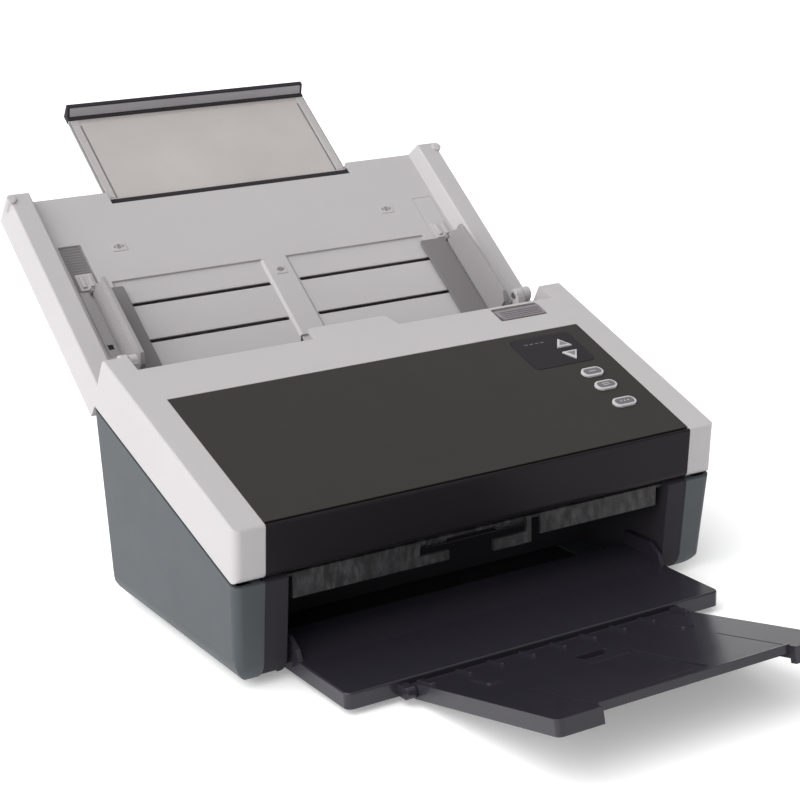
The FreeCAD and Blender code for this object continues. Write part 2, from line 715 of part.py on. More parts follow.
def cover_frame():
    inner = HALF_WIDTH - WALL
    notch_edges = (ARM_NOTCH[0] - 2, ARM_NOTCH[1] + 2)
    block = cover_block(HALF_WIDTH, 0)
    block = block.makeFillet(1.4, [e for e in block.Edges if is_cover_ridge(e)])
    block = block.cut(both_sides(cover_corner()))
    deep = side_prism(cover_outline(WALL, WALL, REAR_STEP + WALL, -5), (-inner, inner))
    deep = deep.cut(both_sides(box(notch_edges, (NOTCH_Y - 2, 200), (50, 200))))
    side = side_prism(cover_outline(WALL, WALL, WALL, -5), (notch_edges[1], inner))
    stepped = side_prism(cover_outline(-20, -20, -20, -20), (-ARM_NOTCH[1], ARM_NOTCH[1]))
    stepped = stepped.cut(side_prism(cover_outline(-30, -30, REAR_STEP, -30),
                                     (-HALF_WIDTH, HALF_WIDTH)))
    y, z = hinge_at()
    shell = block.cut([deep, stepped] + both_sides(side))
    shell = shell.cut(both_sides(box(ARM_NOTCH, (NOTCH_Y, 200), (50, 200))))
    shell = shell.cut([
        put(box((-PANEL_HALF, PANEL_HALF), (-5, PANEL_LENGTH), (-6, 5)), COVER),
        box((-PANEL_HALF, PANEL_HALF), (-10, 12), (40, COVER_FRONT_Z + 2)),
        box((-INLET_HALF, INLET_HALF), (135, 200), (50, INLET_TOP)),
    ])
    rib = side_prism(cover_outline(WALL, WALL - 0.1, REAR_STEP + WALL, GUIDE_FLANGE[1] + 0.1), RIB_X)
    rib = rib.cut(put(box((0, HALF_WIDTH), (-5, 17), (-5, 60)), SEAM))
    boss = join([rod(HINGE_BOSS, y, z, EAR_R), put(box(HINGE_BOSS, (0, 9.1), (4.7, 14)), SEAM)])
    boss = boss.common(side_prism(cover_outline(1, 1, 1, 0), (-HALF_WIDTH, HALF_WIDTH)))
    ledge = put(box((-PANEL_HALF - 3, PANEL_HALF + 3), (PANEL_LENGTH - 3, PANEL_LENGTH + 2),
                    (-2 * WALL, -WALL)), COVER)
    seat = box((LATCH[0] - 4, LATCH[1] + 3), (LATCH[2] - 4, LATCH[3] + 5), (-7, -WALL + 0.1))
    tab = put(centre_tab(), COVER)
    shell = join([shell, ledge, put(seat, COVER), tab] + both_sides(rib) + both_sides(boss))
    cuts = [
        put(plate((LATCH[0] - 0.6, LATCH[1] + 0.6), (LATCH[2] - 0.6, LATCH[3] + 2.6), (-5, 5), 1.0), COVER),
        put(rod((LATCH[0] - 2.5, LATCH[1] + 2), LATCH_AXIS[0], LATCH_AXIS[1], LATCH_PIN_R + RUNNING),
            COVER),
    ]
    cuts += both_sides(rod((HINGE_EAR[0] - 0.4, HINGE_EAR[1] + 0.4), y, z, EAR_R + 0.3))
    along, depth = inside(SEAM, y, z)
    cuts += both_sides(put(box((HINGE_EAR[0] - 0.4, HINGE_EAR[1] + 0.4),
                               (along - LIP_KEPT, along + 16), (-2, depth)), SEAM))
    cuts += both_sides(rod(HINGE_BOSS, y, z, HINGE_PIN_R + RUNNING))
    return shell.cut(cuts)


def cover_corner():
    """What rounding takes off the upright corner at the right end of the cover's front."""
    lean = V(0, -SEAM_FRONT[0], COVER_FRONT_Z - SEAM_FRONT[1])
    foot = V(HALF_WIDTH, SEAM_FRONT[0], SEAM_FRONT[1]) - lean
    r = COVER_CORNER_R
    square = Part.makePlane(r + 1, r + 1, foot + V(-r, -1, 0))
    disc = Part.Face(Part.Wire(Part.makeCircle(r, foot + V(-r, r, 0))))
    return square.cut(disc).extrude(lean * 3)


def is_cover_ridge(edge):
    """A side edge of the cover's front or top."""
    c = edge.CenterOfMass
    return abs(abs(c.x) - HALF_WIDTH) < 0.01 and c.y < 155 and inside(SEAM, c.y, c.z)[1] > 8


def centre_tab():
    outline = [(-30, 140), (31, 140), (26, 159), (-28, 159)]
    return rounded(plan_prism(outline, (-WALL, 0)), 1.5, V(0, 0, 1), lambda c: c.y > 150)


def top_panel():
    edge = PANEL_HALF - PANEL_GAP
    body = rounded(box((-edge, edge), (WALL + PANEL_GAP, PANEL_LENGTH - PANEL_GAP), (-WALL, 0)),
                   0.8, V(0, 0, 1))
    holes = [button_prism(name, BUTTON_GAP, (-6, 3)) for name in BUTTONS]
    x0, x1, s0, s1 = WINDOW
    holes.append(plate((x0, x1), (s0, s1), (-WINDOW_T, 2), 4.0))
    posts = [
        Part.makeCylinder(2.2, -WALL + 0.1 - BUTTON_BOARD[1], V(x, s, BUTTON_BOARD[1]))
        for x, s in BOARD_POSTS
    ]
    return put(join([body.cut(holes)] + posts), COVER)


def display_window():
    x0, x1, s0, s1 = WINDOW
    body = plate((x0 + 0.1, x1 - 0.1), (s0 + 0.1, s1 - 0.1), (-WINDOW_T, 0.15), 3.9)
    return put(body.cut([button_prism(name, BUTTON_GAP, (-6, 3)) for name in ARROWS]), COVER)


def button_prism(name, grow, z):
    """A button's outline, grown sideways."""
    if name in PILLS:
        x0, x1, s0, s1 = PILLS[name]
        r = (s1 - s0) / 2 + grow
        return plate((x0 - grow, x1 + grow), (s0 - grow, s1 + grow), z, r - 0.01)
    marks = UP_MARK if name == "up_button" else DOWN_MARK
    wire = Part.makePolygon([V(x, s, z[0]) for x, s in marks + marks[:1]])
    face = Part.Face(wire)
    if grow:
        face = Part.Face(face.makeOffset2D(grow, 2).Wires[0])
    return face.extrude(V(0, 0, z[1] - z[0]))


def button(name):
    cap = button_prism(name, 0, (-3.3, 1.2))
    top = [e for e in cap.Edges if e.CenterOfMass.z > 1.19]
    cap = cap.makeFillet(0.35, top)
    return put(join([cap, button_prism(name, 1.2, (-4.4, -3.2))]), COVER)


def control_board():
    board = box((86, 131), (26, 110), BUTTON_BOARD)
    switches = []
    for name in BUTTONS:
        c = button_prism(name, 0, (0, 1)).Solids[0].CenterOfMass
        switches.append(box((c.x - 3, c.x + 3), (c.y - 3, c.y + 3), (BUTTON_BOARD[1] - 0.1, -6.6)))
        switches.append(Part.makeCylinder(1.4, 1.2, V(c.x, c.y, -6.7)))
    return put(join([board] + switches), COVER)


def front_fascia():
    edge = PANEL_HALF - PANEL_GAP
    layer = cover_block(edge, 0).common(front_layer())
    return layer.common(put(box((-edge, edge), (-10, WALL + 12), (-60, 5)), COVER))


def release_latch():
    x0, x1, s0, s1 = LATCH
    outline = [(x0 + 3, s0), (x1, s0), (x1, s1), (x0, s1), (x0 + 0.6, s0 + 4)]
    bar = rounded(plan_prism(outline, (-3.4, 0.5)), 0.8, V(0, 0, 1))
    ribs = [box((x0 + 3, x1 - 2), (s, s + 0.8), (0.4, 0.8)) for s in (s0 + 1.6 + 1.9 * k for k in range(4))]
    y, z = LATCH_AXIS
    hinge = [box((x0 + 1, x1 - 1), (s1 - 1, y + 0.3), (z - LATCH_PIN_R, z + LATCH_PIN_R)),
             rod((x0 - 2.3, x1 + 1.8), y, z, LATCH_PIN_R)]
    return put(join([bar] + ribs + hinge), COVER)


def upper_paper_guide():
    plate_z = (UPPER_GUIDE_FOOT, UPPER_GUIDE_FOOT + GUIDE_T)
    sheet = box((-PATH_HALF, PATH_HALF), (11, 160), plate_z)
    flange = [box((PATH_HALF - 2, RIB_X[1]), (17, 140), GUIDE_FLANGE),
              box((PATH_HALF - 2, PATH_HALF), (11, 160), (UPPER_GUIDE_FOOT, GUIDE_FLANGE[1]))]
    ribs = []
    bores = []
    for along, depth, spots in ((EXIT_AT, IDLER_DEPTH, (108, 114)), (DRIVE_AT, IDLER_DEPTH, (108, 114)),
                                (FEED_AT, SEPARATION_DEPTH, (44, 48))):
        ribs += both_sides(box(spots, (along - 4, along + 4), (UPPER_GUIDE_FOOT, depth + 4)))
        bores.append(rod((-HALF_WIDTH, HALF_WIDTH), along, depth, IDLER_SHAFT_R + RUNNING))
    windows = tyre_windows(((EXIT_AT, TYRE_CENTRES, 5.4), (DRIVE_AT, TYRE_CENTRES, 5.4),
                            (FEED_AT, FEED_CENTRES, 7.2)), 8.6, (-3, 3))
    windows.append(box((-SCAN_HALF - 0.2, SCAN_HALF + 0.2),
                       (UPPER_SCAN_AT - SCAN_WIDTH / 2 - 0.2, UPPER_SCAN_AT + SCAN_WIDTH / 2 + 0.2),
                       (-3, 3)))
    body = join([sheet] + [m for f in flange for m in both_sides(f)])
    body = body.cut(windows)
    return put(join([body] + ribs).cut(bores), SEAM)


def cover_hinge_pin():
    y, z = hinge_at()
    return rod((HINGE_EAR[0], HINGE_BOSS[1]), y, z, HINGE_PIN_R)


# ---------------------------------------------------------------- input tray, in its own plane


def along_tray(points, v):
    """A cross section of the tray, as (u, h) points, stretched up its slope."""
    outline = Part.makePolygon([V(u, v[0], h) for u, h in points + points[:1]])
    return Part.Face(outline).extrude(V(0, v[1] - v[0], 0))


def input_tray():
    foot, crest, outer = RAIL
    v = (TRAY_FOOT_V, TRAY_REAR_V)
    under = -TRAY_FLOOR_T
    floor = box((-foot - 1, foot + 1), v, (under, 0))
    rail = along_tray([(foot - 1, under), (foot, 0), (crest, RAIL_TOP), (outer, RAIL_TOP),
                       (outer, -TRAY_DEPTH), (outer - WALL, -TRAY_DEPTH),
                       (outer - WALL, RAIL_TOP - WALL), (crest + 1.6, RAIL_TOP - WALL),
                       (foot + 2, under)], v)
    caps = [along_tray([(foot, under), (foot, 0), (crest, RAIL_TOP), (outer, RAIL_TOP),
                        (outer, -TRAY_DEPTH), (foot, -TRAY_DEPTH)], ends)
            for ends in ((v[0], v[0] + WALL), (v[1] - WALL, v[1]))]
    rail = join([rail] + caps)
    rail = rail.makeFillet(1.5, [e for e in rail.Edges if is_rail_edge(e)])
    knob = Part.makeCylinder(KNOB_R, KNOB_H[1] - KNOB_H[0],
                             V(outer - 1.2, v[1] - KNOB_R - 1, KNOB_H[0]))
    knob = knob.makeFillet(1.0, [e for e in knob.Edges if e.CenterOfMass.z > KNOB_H[1] - 0.1])
    skirt = [box((-foot - 1, foot + 1), (v[1] - WALL, v[1]), (-TRAY_DEPTH, under + 0.1)),
             box((-foot - 1, foot + 1), (v[0], v[0] + WALL), (-TRAY_DEPTH, under + 0.1))]
    pv, ph = inside(TRAY, *TRAY_PIVOT)
    arm = [box(ARM_U, (pv - 4.6, pv + 4.6), (1, ph)), rod(ARM_U, pv, ph, 4.6)]
    arms = [m for piece in arm for m in both_sides(piece)]
    solid = join([floor] + both_sides(rail) + both_sides(knob) + skirt + arms)
    u0, u1 = WINDOW_U
    cuts = both_sides(along_tray([(u0 - BAR_CHAMFER, 1), (u0 - BAR_CHAMFER, 0), (u0, -WINDOW_DEPTH),
                                  (u1, -WINDOW_DEPTH), (u1, 1)], (TRAY_FOOT_V - 1, WINDOW_V[1])))
    cuts += both_sides(box((-1, u0), (TRAY_FOOT_V - 1, BAR_END_V), (-WINDOW_DEPTH, 1)))
    for at in SLOTS_V:
        cuts += both_sides(plate((u0 + 0.3, u1 + 13), (at - SLOT_W / 2, at + SLOT_W / 2), (-5, 2), 1.2))
    cuts.append(plan_prism([(-u0 - 2.4, BAR_END_V - 6), (-u0 + 0.8, BAR_END_V - 6),
                            (-u0 + 1.6, BAR_END_V + 1)], (-5, 1)))
    cuts += both_sides(plate((119, 134), (-12, 75), (-1.3, 1), 1.5))
    cuts.append(box((-NOTCH_HALF, NOTCH_HALF), (NOTCH_V, TRAY_REAR_V + 1), (-TRAY_DEPTH - 1, 1)))
    cuts.append(box((-NOTCH_HALF, NOTCH_HALF), (60, TRAY_REAR_V + 1), (EXTENSION_TOP - 3, under)))
    cuts += both_sides(rod(ARM_U, pv, ph, TRAY_PIN_R + RUNNING))
    cuts += [Part.makeCylinder(SCREW_R, 8, V(u, w, -TRAY_DEPTH)) for u, w in tray_screw_places()]
    solid = solid.cut(cuts)
    bracket = [plate((121, 132), BRACKET_V, (-1.4, 0.5), 1.0)]
    bracket += [box(u, (BRACKET_V[0] + 2, BRACKET_V[1] - 2), (0, 1.6)) for u in ((123, 125.4), (128, 130.4))]
    marks = [plate((w - 5, w + 5), (66, 73), (-0.1, 0.25), 1.0) for w in (-96, 96)]
    marks.append(plate((-4, 4), (30, 37), (-0.1, 0.25), 1.0))
    pillars = [Part.makeCylinder(4, TRAY_DEPTH - BACK_T - TRAY_FLOOR_T + 0.1,
                                 V(u, w, -TRAY_DEPTH + BACK_T)) for u, w in tray_screw_places()]
    pillars = [p.cut(Part.makeCylinder(SCREW_R, 8, V(u, w, -TRAY_DEPTH)))
               for p, (u, w) in zip(pillars, tray_screw_places())]
    return put(join([solid] + [m for b in bracket for m in both_sides(b)] + marks + pillars), TRAY)


def is_rail_edge(edge):
    c = edge.CenterOfMass
    return runs_along(edge, V(0, 1, 0)) and c.z > RAIL_TOP - 0.1


def tray_screw_places():
    return [(u, w) for u in (-128, 128) for w in (-33, 98)]


def tray_back_cover():
    rear = TRAY_REAR_V - WALL - 0.2
    half = RAIL[2] - WALL - 0.2
    body = box((-half, half), (TRAY_FOOT_V + WALL + 0.2, rear), (-TRAY_DEPTH, -TRAY_DEPTH + BACK_T))
    body = body.cut(box((-NOTCH_HALF, NOTCH_HALF), (NOTCH_V, rear + 1), (-TRAY_DEPTH - 1, 0)))
    body = body.cut([Part.makeCylinder(SCREW_R, 8, V(u, w, -TRAY_DEPTH - 1))
                     for u, w in tray_screw_places()])
    grooves = [box((-70, 70), (w, w + 1.6), (-TRAY_DEPTH - 1, -TRAY_DEPTH + 0.6))
               for w in range(-20, 85, 13)]
    post = Part.makeCylinder(PINION_POST_R, RACK_H[1] - RACK_H[0] + 1.6,
                             V(0, RACK_V, -TRAY_DEPTH + BACK_T - 0.1))
    return put(join([body.cut(grooves), post]), TRAY)


def tray_screws():
    screws = []
    for u, w in tray_screw_places():
        head = Part.makeCylinder(SCREW_HEAD_R, 1.0, V(u, w, -TRAY_DEPTH - 1.0))
        stem = Part.makeCylinder(SCREW_R, 8, V(u, w, -TRAY_DEPTH - 0.1))
        slot = box((u - 2, u + 2), (w - 0.35, w + 0.35), (-TRAY_DEPTH - 2, -TRAY_DEPTH - 0.6))
        screws.append(head.fuse(stem).removeSplitter().cut(slot))
    return put(solids(screws), TRAY)


def rack_teeth(u, pitch_v, sign):
    """A straight rack's outline, teeth facing the pinion, from u[0] to u[1] along its run."""
    first = math.ceil(u[0] / TOOTH_PITCH)
    last = math.floor(u[1] / TOOTH_PITCH) - 1
    tip, root = pitch_v - sign * TOOTH_ADD, pitch_v + sign * TOOTH_DED
    outline = [(u[0], root)]
    for k in range(first, last + 1):
        c = (k + 0.5) * TOOTH_PITCH
        outline += [(c - TOOTH_ROOT_W / 2, root), (c - TOOTH_TIP_W / 2, tip),
                    (c + TOOTH_TIP_W / 2, tip), (c + TOOTH_ROOT_W / 2, root)]
    return outline + [(u[1], root)]


def guide_slider(sign):
    """The sliding foot of one paper guide with its rack; sign is -1 on the left."""
    foot = plate((-GUIDE_FACE, -106), SLIDER_V, (0.3, SLIDER_TOP), 1.2)
    lane = RACK_V - sign * PINION_R
    back = lane - sign * RACK_BACK
    slot = SLOTS_V[0] if sign < 0 else SLOTS_V[1]
    spare = SLOTS_V[1] if sign < 0 else SLOTS_V[0]
    outline = rack_teeth((-122.0, 8.0), lane, -sign) + [(8.0, back), (-122.0, back)]
    rack = plan_prism(outline, RACK_H)
    tabs = [box((-122, -108), (slot - 1.1, slot + 1.1), (RACK_H[1] - 1, SLIDER_TOP - 0.1)),
            box((-122, -108), (spare - 1.1, spare + 1.1), (-2.6, SLIDER_TOP - 0.1)),
            box((-122, -108), (min(slot - 1.1, back), max(slot + 1.1, back)), RACK_H)]
    lugs = []
    for v in (SLIDER_V[0], SLIDER_V[1] - LUG_T):
        lugs += [box((-GUIDE_AXIS - 1.6, -GUIDE_AXIS + 1.6), (v, v + LUG_T), (0.3, GUIDE_PIVOT_H)),
                 Part.makeCylinder(1.6, LUG_T, V(-GUIDE_AXIS, v, GUIDE_PIVOT_H), V(0, 1, 0)),
                 box((-GUIDE_AXIS - 1.6, -120), (v, v + LUG_T), (0.3, SLIDER_TOP))]
    body = join([foot, rack] + tabs + lugs)
    body = body.cut(Part.makeCylinder(GUIDE_PIN_R + RUNNING, 90, V(-GUIDE_AXIS, -45, GUIDE_PIVOT_H),
                                      V(0, 1, 0)))
    return put(body if sign < 0 else mirrored(body), TRAY)


def guide_pinion():
    points = []
    for k in range(PINION_TEETH):
        for r, part in ((PINION_R - TOOTH_DED, -TOOTH_ROOT_W / 2), (PINION_R + TOOTH_ADD, -TOOTH_TIP_W / 2),
                        (PINION_R + TOOTH_ADD, TOOTH_TIP_W / 2), (PINION_R - TOOTH_DED, TOOTH_ROOT_W / 2)):
            angle = math.pi / 2 + 2 * math.pi * k / PINION_TEETH + part / PINION_R
            points.append((r * math.cos(angle), RACK_V + r * math.sin(angle)))
    wheel = plan_prism(points, (RACK_H[0], RACK_H[1]))
    hub = Part.makeCylinder(PINION_POST_R + 2, 1.0, V(0, RACK_V, RACK_H[1] - 0.2))
    bore = Part.makeCylinder(PINION_POST_R + RUNNING, 12, V(0, RACK_V, RACK_H[0] - 2))
    return put(join([wheel, hub]).cut(bore), TRAY)


def paper_guide(sign):
    """One upright guide: it turns on its slider and folds flat when the tray is closed."""
    v0, v1 = GUIDE_V
    outline = [(v0, GUIDE_PIVOT_H), (v0, GUIDE_H - 5), (v0 + 5, GUIDE_H), (v1 - 6, GUIDE_H - 2),
               (v1 - 2.4, GUIDE_H - 3), (v1 - 2.4, 13.5), (v1, 12.7), (v1, GUIDE_PIVOT_H)]
    across = (-GUIDE_FACE - GUIDE_WALL, -GUIDE_FACE)
    wall = side_prism(outline, across)
    edge = Part.makeCylinder(GUIDE_WALL / 2, v1 - v0, V(-GUIDE_AXIS, v0, GUIDE_PIVOT_H), V(0, 1, 0))
    pin = Part.makeCylinder(GUIDE_PIN_R, SLIDER_V[1] - SLIDER_V[0] - 0.4,
                            V(-GUIDE_AXIS, SLIDER_V[0] + 0.2, GUIDE_PIVOT_H), V(0, 1, 0))
    rib = side_prism([(v0 + 3, GUIDE_H - 8), (v1 - 6, GUIDE_H - 8), (v1 - 6, GUIDE_H - 6.8),
                      (v0 + 3, GUIDE_H - 6.8)], (-GUIDE_FACE - GUIDE_WALL - 0.8, -GUIDE_FACE - 1))
    body = join([wall, edge, pin, rib])
    return put(body if sign < 0 else mirrored(body), TRAY)


def tray_extension():
    v0, v1 = EXTENSION_V
    top, low = EXTENSION_TOP, EXTENSION_TOP - EXTENSION_T
    sheet = rounded(box((-EXTENSION_HALF, EXTENSION_HALF), (v0, v1 - 7), (low, top)), 1.5, V(0, 0, 1),
                    lambda c: c.y < v0 + 1)
    grooves = both_sides(box((78.8, 80.0), (v0 + 8, v1 - 12), (top - 0.5, top + 1)))
    stop = box((70, 75), (v0 + 3, v0 + 6), (top - 0.1, top + 0.9))
    return put(join([sheet.cut(grooves), stop]), TRAY)


def extension_bar():
    """The dark rib across the extension, just behind the tray's rear edge."""
    bar = box((-EXTENSION_HALF, EXTENSION_HALF), BAR_V, (EXTENSION_TOP, EXTENSION_TOP + BAR_T))
    return put(bar, TRAY)


def extension_lip():
    v1 = EXTENSION_V[1]
    top, low = EXTENSION_TOP, EXTENSION_TOP - EXTENSION_T
    side = side_prism([(v1 - 7, low - 0.8), (v1, low - 0.8), (v1 + 1.0, LIP_TOP), (v1 - 1.6, LIP_TOP),
                       (v1 - 4.5, top + 0.8), (v1 - 7, top + 0.8)], (-EXTENSION_HALF, EXTENSION_HALF))
    return put(side, TRAY)


# ---------------------------------------------------------------- output tray and its flap


def output_tray():
    outline = [(OUT_FRONT, OUT_FOOT), (OUT_REAR, OUT_FOOT), (OUT_REAR, OUT_TOP + 3.3),
               (OUT_REAR - 12, OUT_TOP + 2.6), (0, OUT_TOP), (OUT_FRONT, OUT_TOP)]
    slab = side_prism(outline, (-OUT_HALF, OUT_HALF))
    slab = rounded(slab, 4.0, V(0, 0, 1), lambda c: c.y < OUT_FRONT + 1)
    slab = slab.makeFillet(1.0, [e for e in slab.Edges if e.CenterOfMass.z > OUT_TOP - 0.01
                                 and e.CenterOfMass.y < 0 and abs(e.CenterOfMass.y) > 1])
    under = side_prism([(OUT_FRONT + 3, OUT_FOOT - 1), (OUT_REAR + 1, OUT_FOOT - 1),
                        (OUT_REAR + 1, OUT_TOP - 2.2), (OUT_FRONT + 3, OUT_TOP - 2.2)],
                       (-OUT_HALF + 3, OUT_HALF - 3))
    cheek = side_prism([(OUT_CHEEK_Y, OUT_TOP - 2), (OUT_CHEEK_Y + 4, OUT_TOP + 6),
                        (OUT_CHEEK_Y + 12, OUT_TOP + 11), (OUT_REAR, OUT_TOP + 11),
                        (OUT_REAR, OUT_TOP - 2)], (OUT_HALF - 2.4, OUT_HALF))
    y, z = flap_axis()
    lug = join([rod(LUG_X, y, z, LUG_R), box(LUG_X, (y, OUT_FRONT + 1), (z - LUG_R, z + LUG_R - 0.6))])
    body = join([slab.cut(under)] + both_sides(cheek) + both_sides(lug))
    return body.cut(both_sides(rod((LUG_X[0] - 1, LUG_X[1] - LUG_CAP), y, z, FLAP_PIN_R)))


def flap_axis():
    point = FLAP.multVec(V(0, *FLAP_PIVOT))
    return point.y, point.z


def flap_hinge_pin():
    y, z = flap_axis()
    return rod((LUG_X[0] - 9, LUG_X[1] - LUG_CAP), y, z, FLAP_PIN_R)


def output_flap():
    far = -FLAP_LENGTH
    v, h = FLAP_PIVOT
    body = box((-FLAP_HALF, FLAP_HALF), (far, v), (-FLAP_T, 0))
    body = rounded(body, 3.0, V(0, 0, 1), lambda c: c.y < far + 1)
    body = join([body, rod((-FLAP_HALF, FLAP_HALF), v, h, FLAP_T / 2)])
    under = box((-FLAP_HALF + 3, FLAP_HALF - 3), (far + 4, v - 8), (-FLAP_T - 1, -6.2))
    well = plate((-STOPPER_HALF, STOPPER_HALF), STOPPER, (-STOPPER_WELL, 1), 1.5)
    grip = plate((-10, 10), (STOPPER[1] + 1.5, STOPPER[1] + 11), (-4.0, 1), 1.5)
    front = box((-FLAP_STUB, FLAP_STUB), (far - 1, far + 3.5), (-FLAP_T - 1, 1))
    thin = box((-FLAP_STUB, FLAP_STUB), (far - 1, STOPPER[0] - 0.6), (-FLAP_T - 1, -FLAP_EDGE_T))
    lines = both_sides(box((FLAP_STUB, FLAP_STUB + 0.9), (far - 1, -70), (-0.6, 1)))
    bores = both_sides(rod((LUG_X[0] - 9.6, LUG_X[0] + 1), v, h, FLAP_PIN_R + RUNNING))
    axis_y, axis_z = STOPPER_AXIS
    bores.append(rod((-STOPPER_HALF - 3, STOPPER_HALF + 3), axis_y, axis_z, 1.0 + RUNNING))
    body = body.cut([under, well, grip, front, thin] + lines + bores)
    ribs = [rounded(box((x - 0.8, x + 0.8), (-19, -5), (-0.1, 1.3)), 1.0, V(1, 0, 0),
                    lambda c: c.z > 1) for x in FLAP_RIBS]
    ribs += both_sides(rounded(box((81.5, 84.5), (-19, -5), (-0.1, 1.3)), 1.0, V(1, 0, 0),
                               lambda c: c.z > 1))
    ribs += both_sides(plate((58, 67), (-46, -26), (-0.1, 0.8), 2.0))
    ribs.append(box((-FLAP_STUB, FLAP_STUB), (far + 3.5, far + 5.0), (-1, 1.2)))
    return put(join([body] + ribs), FLAP)


def paper_stopper():
    half = STOPPER_HALF - 0.35
    y, z = STOPPER_AXIS
    blade = rounded(box((-half, half), (y + 2, STOPPER[1] - 0.5), (-3.4, -0.8)), 1.5, V(0, 0, 1),
                    lambda c: c.y > STOPPER[1] - 2)
    rim = rounded(box((-half, half), (STOPPER[1] - 5, STOPPER[1] - 0.5), (-3.4, 0)), 1.5, V(0, 0, 1),
                  lambda c: c.y > STOPPER[1] - 2)
    knuckle = [rod((-half, half), y, z, 1.3), box((-half, half), (y, y + 3), (z - 1.3, z + 1.3)),
               rod((-STOPPER_HALF - 2.6, STOPPER_HALF + 2.6), y, z, 1.0)]
    return put(join([blade, rim] + knuckle), FLAP)


# ---------------------------------------------------------------- the whole scanner


def build():
    PARTS["base_housing"] = base_housing()
    PARTS["bottom_plate"] = bottom_plate()
    PARTS["bottom_screws"] = bottom_screws()
    PARTS["rubber_feet"] = rubber_feet()
    PARTS["cavity_liner"] = cavity_liner()
    PARTS["chassis_left"] = chassis(-1)
    PARTS["chassis_right"] = chassis(1)
    PARTS["shaft_bearings"] = shaft_bearings()
    PARTS["lower_paper_guide"] = lower_paper_guide()
    PARTS["lower_scan_module"] = scan_module(LOWER_SCAN_AT, LOWER_SCAN_Z, -1)
    PARTS["lower_scan_glass"] = glass(LOWER_SCAN_AT, (LOWER_SCAN_Z[1], LOWER_GUIDE_TOP))
    PARTS["drive_motor"] = drive_motor()
    PARTS["drive_belt"] = drive_belt()
    PARTS["motor_pulley"] = motor_pulley()
    PARTS["main_board"] = main_board()
    PARTS["power_jack"] = power_jack()
    PARTS["usb_port"] = usb_port()
    PARTS["tray_hinge_brackets"] = solids(both_sides(tray_hinge_bracket()))
    PARTS["tray_hinge_pins"] = solids(both_sides(tray_hinge_pin()))
    PARTS["cover_hinge_pins"] = solids(both_sides(cover_hinge_pin()))
    for name, r, places in (("exit", EXIT_R, TYRE_CENTRES), ("drive", DRIVE_R, TYRE_CENTRES),
                            ("feed", FEED_R, FEED_CENTRES)):
        PARTS[name + "_roller_shaft"] = roller_shaft(name, places)
        PARTS[name + "_roller_tyres"] = roller_tyres(name, r, places)
    PARTS["exit_idlers"] = idlers(EXIT_AT, IDLER_DEPTH, IDLER_R, TYRE_CENTRES, 115.5)
    PARTS["drive_idlers"] = idlers(DRIVE_AT, IDLER_DEPTH, IDLER_R, TYRE_CENTRES, 115.5)
    PARTS["separation_roller"] = idlers(FEED_AT, SEPARATION_DEPTH, SEPARATION_R, FEED_CENTRES, 49.5)
    PARTS["cover_frame"] = cover_frame()
    PARTS["top_panel"] = top_panel()
    PARTS["front_fascia"] = front_fascia()
    PARTS["display_window"] = display_window()
    PARTS["control_board"] = control_board()
    PARTS["release_latch"] = release_latch()
    PARTS["upper_paper_guide"] = upper_paper_guide()
    PARTS["upper_scan_module"] = scan_module(UPPER_SCAN_AT, UPPER_SCAN_Z, 1)
    PARTS["upper_scan_glass"] = glass(UPPER_SCAN_AT, (UPPER_GUIDE_FOOT, UPPER_SCAN_Z[0]))
    for name in BUTTONS:
        PARTS[name] = button(name)
    PARTS["input_tray"] = input_tray()
    PARTS["tray_back_cover"] = tray_back_cover()
    PARTS["tray_screws"] = tray_screws()
    PARTS["guide_slider_left"] = guide_slider(-1)
    PARTS["guide_slider_right"] = guide_slider(1)
    PARTS["paper_guide_left"] = paper_guide(-1)
    PARTS["paper_guide_right"] = paper_guide(1)
    PARTS["guide_pinion"] = guide_pinion()
    PARTS["tray_extension"] = tray_extension()
    PARTS["extension_bar"] = extension_bar()
    PARTS["extension_lip"] = extension_lip()
    PARTS["output_tray"] = output_tray()
    PARTS["output_flap"] = output_flap()
    PARTS["paper_stopper"] = paper_stopper()
    PARTS["flap_hinge_pins"] = solids(both_sides(flap_hinge_pin()))


def export():
    os.makedirs("parts", exist_ok=True)
    for name, shape in PARTS.items():
        placed = shape.copy()
        placed.translate(V(0, -CENTRE_Y, 0))
        placed.exportStep("parts/" + name + ".step")


build()
export()
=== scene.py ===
import json
import math

import bmesh
import bpy
from mathutils import Matrix, Vector


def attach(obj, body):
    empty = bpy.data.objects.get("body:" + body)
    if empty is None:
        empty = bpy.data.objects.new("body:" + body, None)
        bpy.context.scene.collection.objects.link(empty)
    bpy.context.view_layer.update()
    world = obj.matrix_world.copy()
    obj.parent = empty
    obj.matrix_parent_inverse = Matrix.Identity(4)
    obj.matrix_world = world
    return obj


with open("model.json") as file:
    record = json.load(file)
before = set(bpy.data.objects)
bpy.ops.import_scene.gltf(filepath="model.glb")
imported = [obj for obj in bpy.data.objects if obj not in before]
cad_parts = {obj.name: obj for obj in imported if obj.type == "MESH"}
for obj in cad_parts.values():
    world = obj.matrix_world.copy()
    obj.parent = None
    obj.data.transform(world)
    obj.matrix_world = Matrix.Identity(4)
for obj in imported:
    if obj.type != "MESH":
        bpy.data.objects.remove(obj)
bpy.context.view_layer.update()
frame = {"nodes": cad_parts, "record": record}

MM = 0.001

# The camera, in metres and degrees about the model's own frame
CAMERA_AT = (-0.5893, -0.9454, 0.4441)
CAMERA_AZIMUTH = -31.842
CAMERA_ELEVATION = 16.536
CAMERA_ROLL = -1.181
CAMERA_LENS = 90.77
CAMERA_REACH = 50.0
SENSOR = 36.0

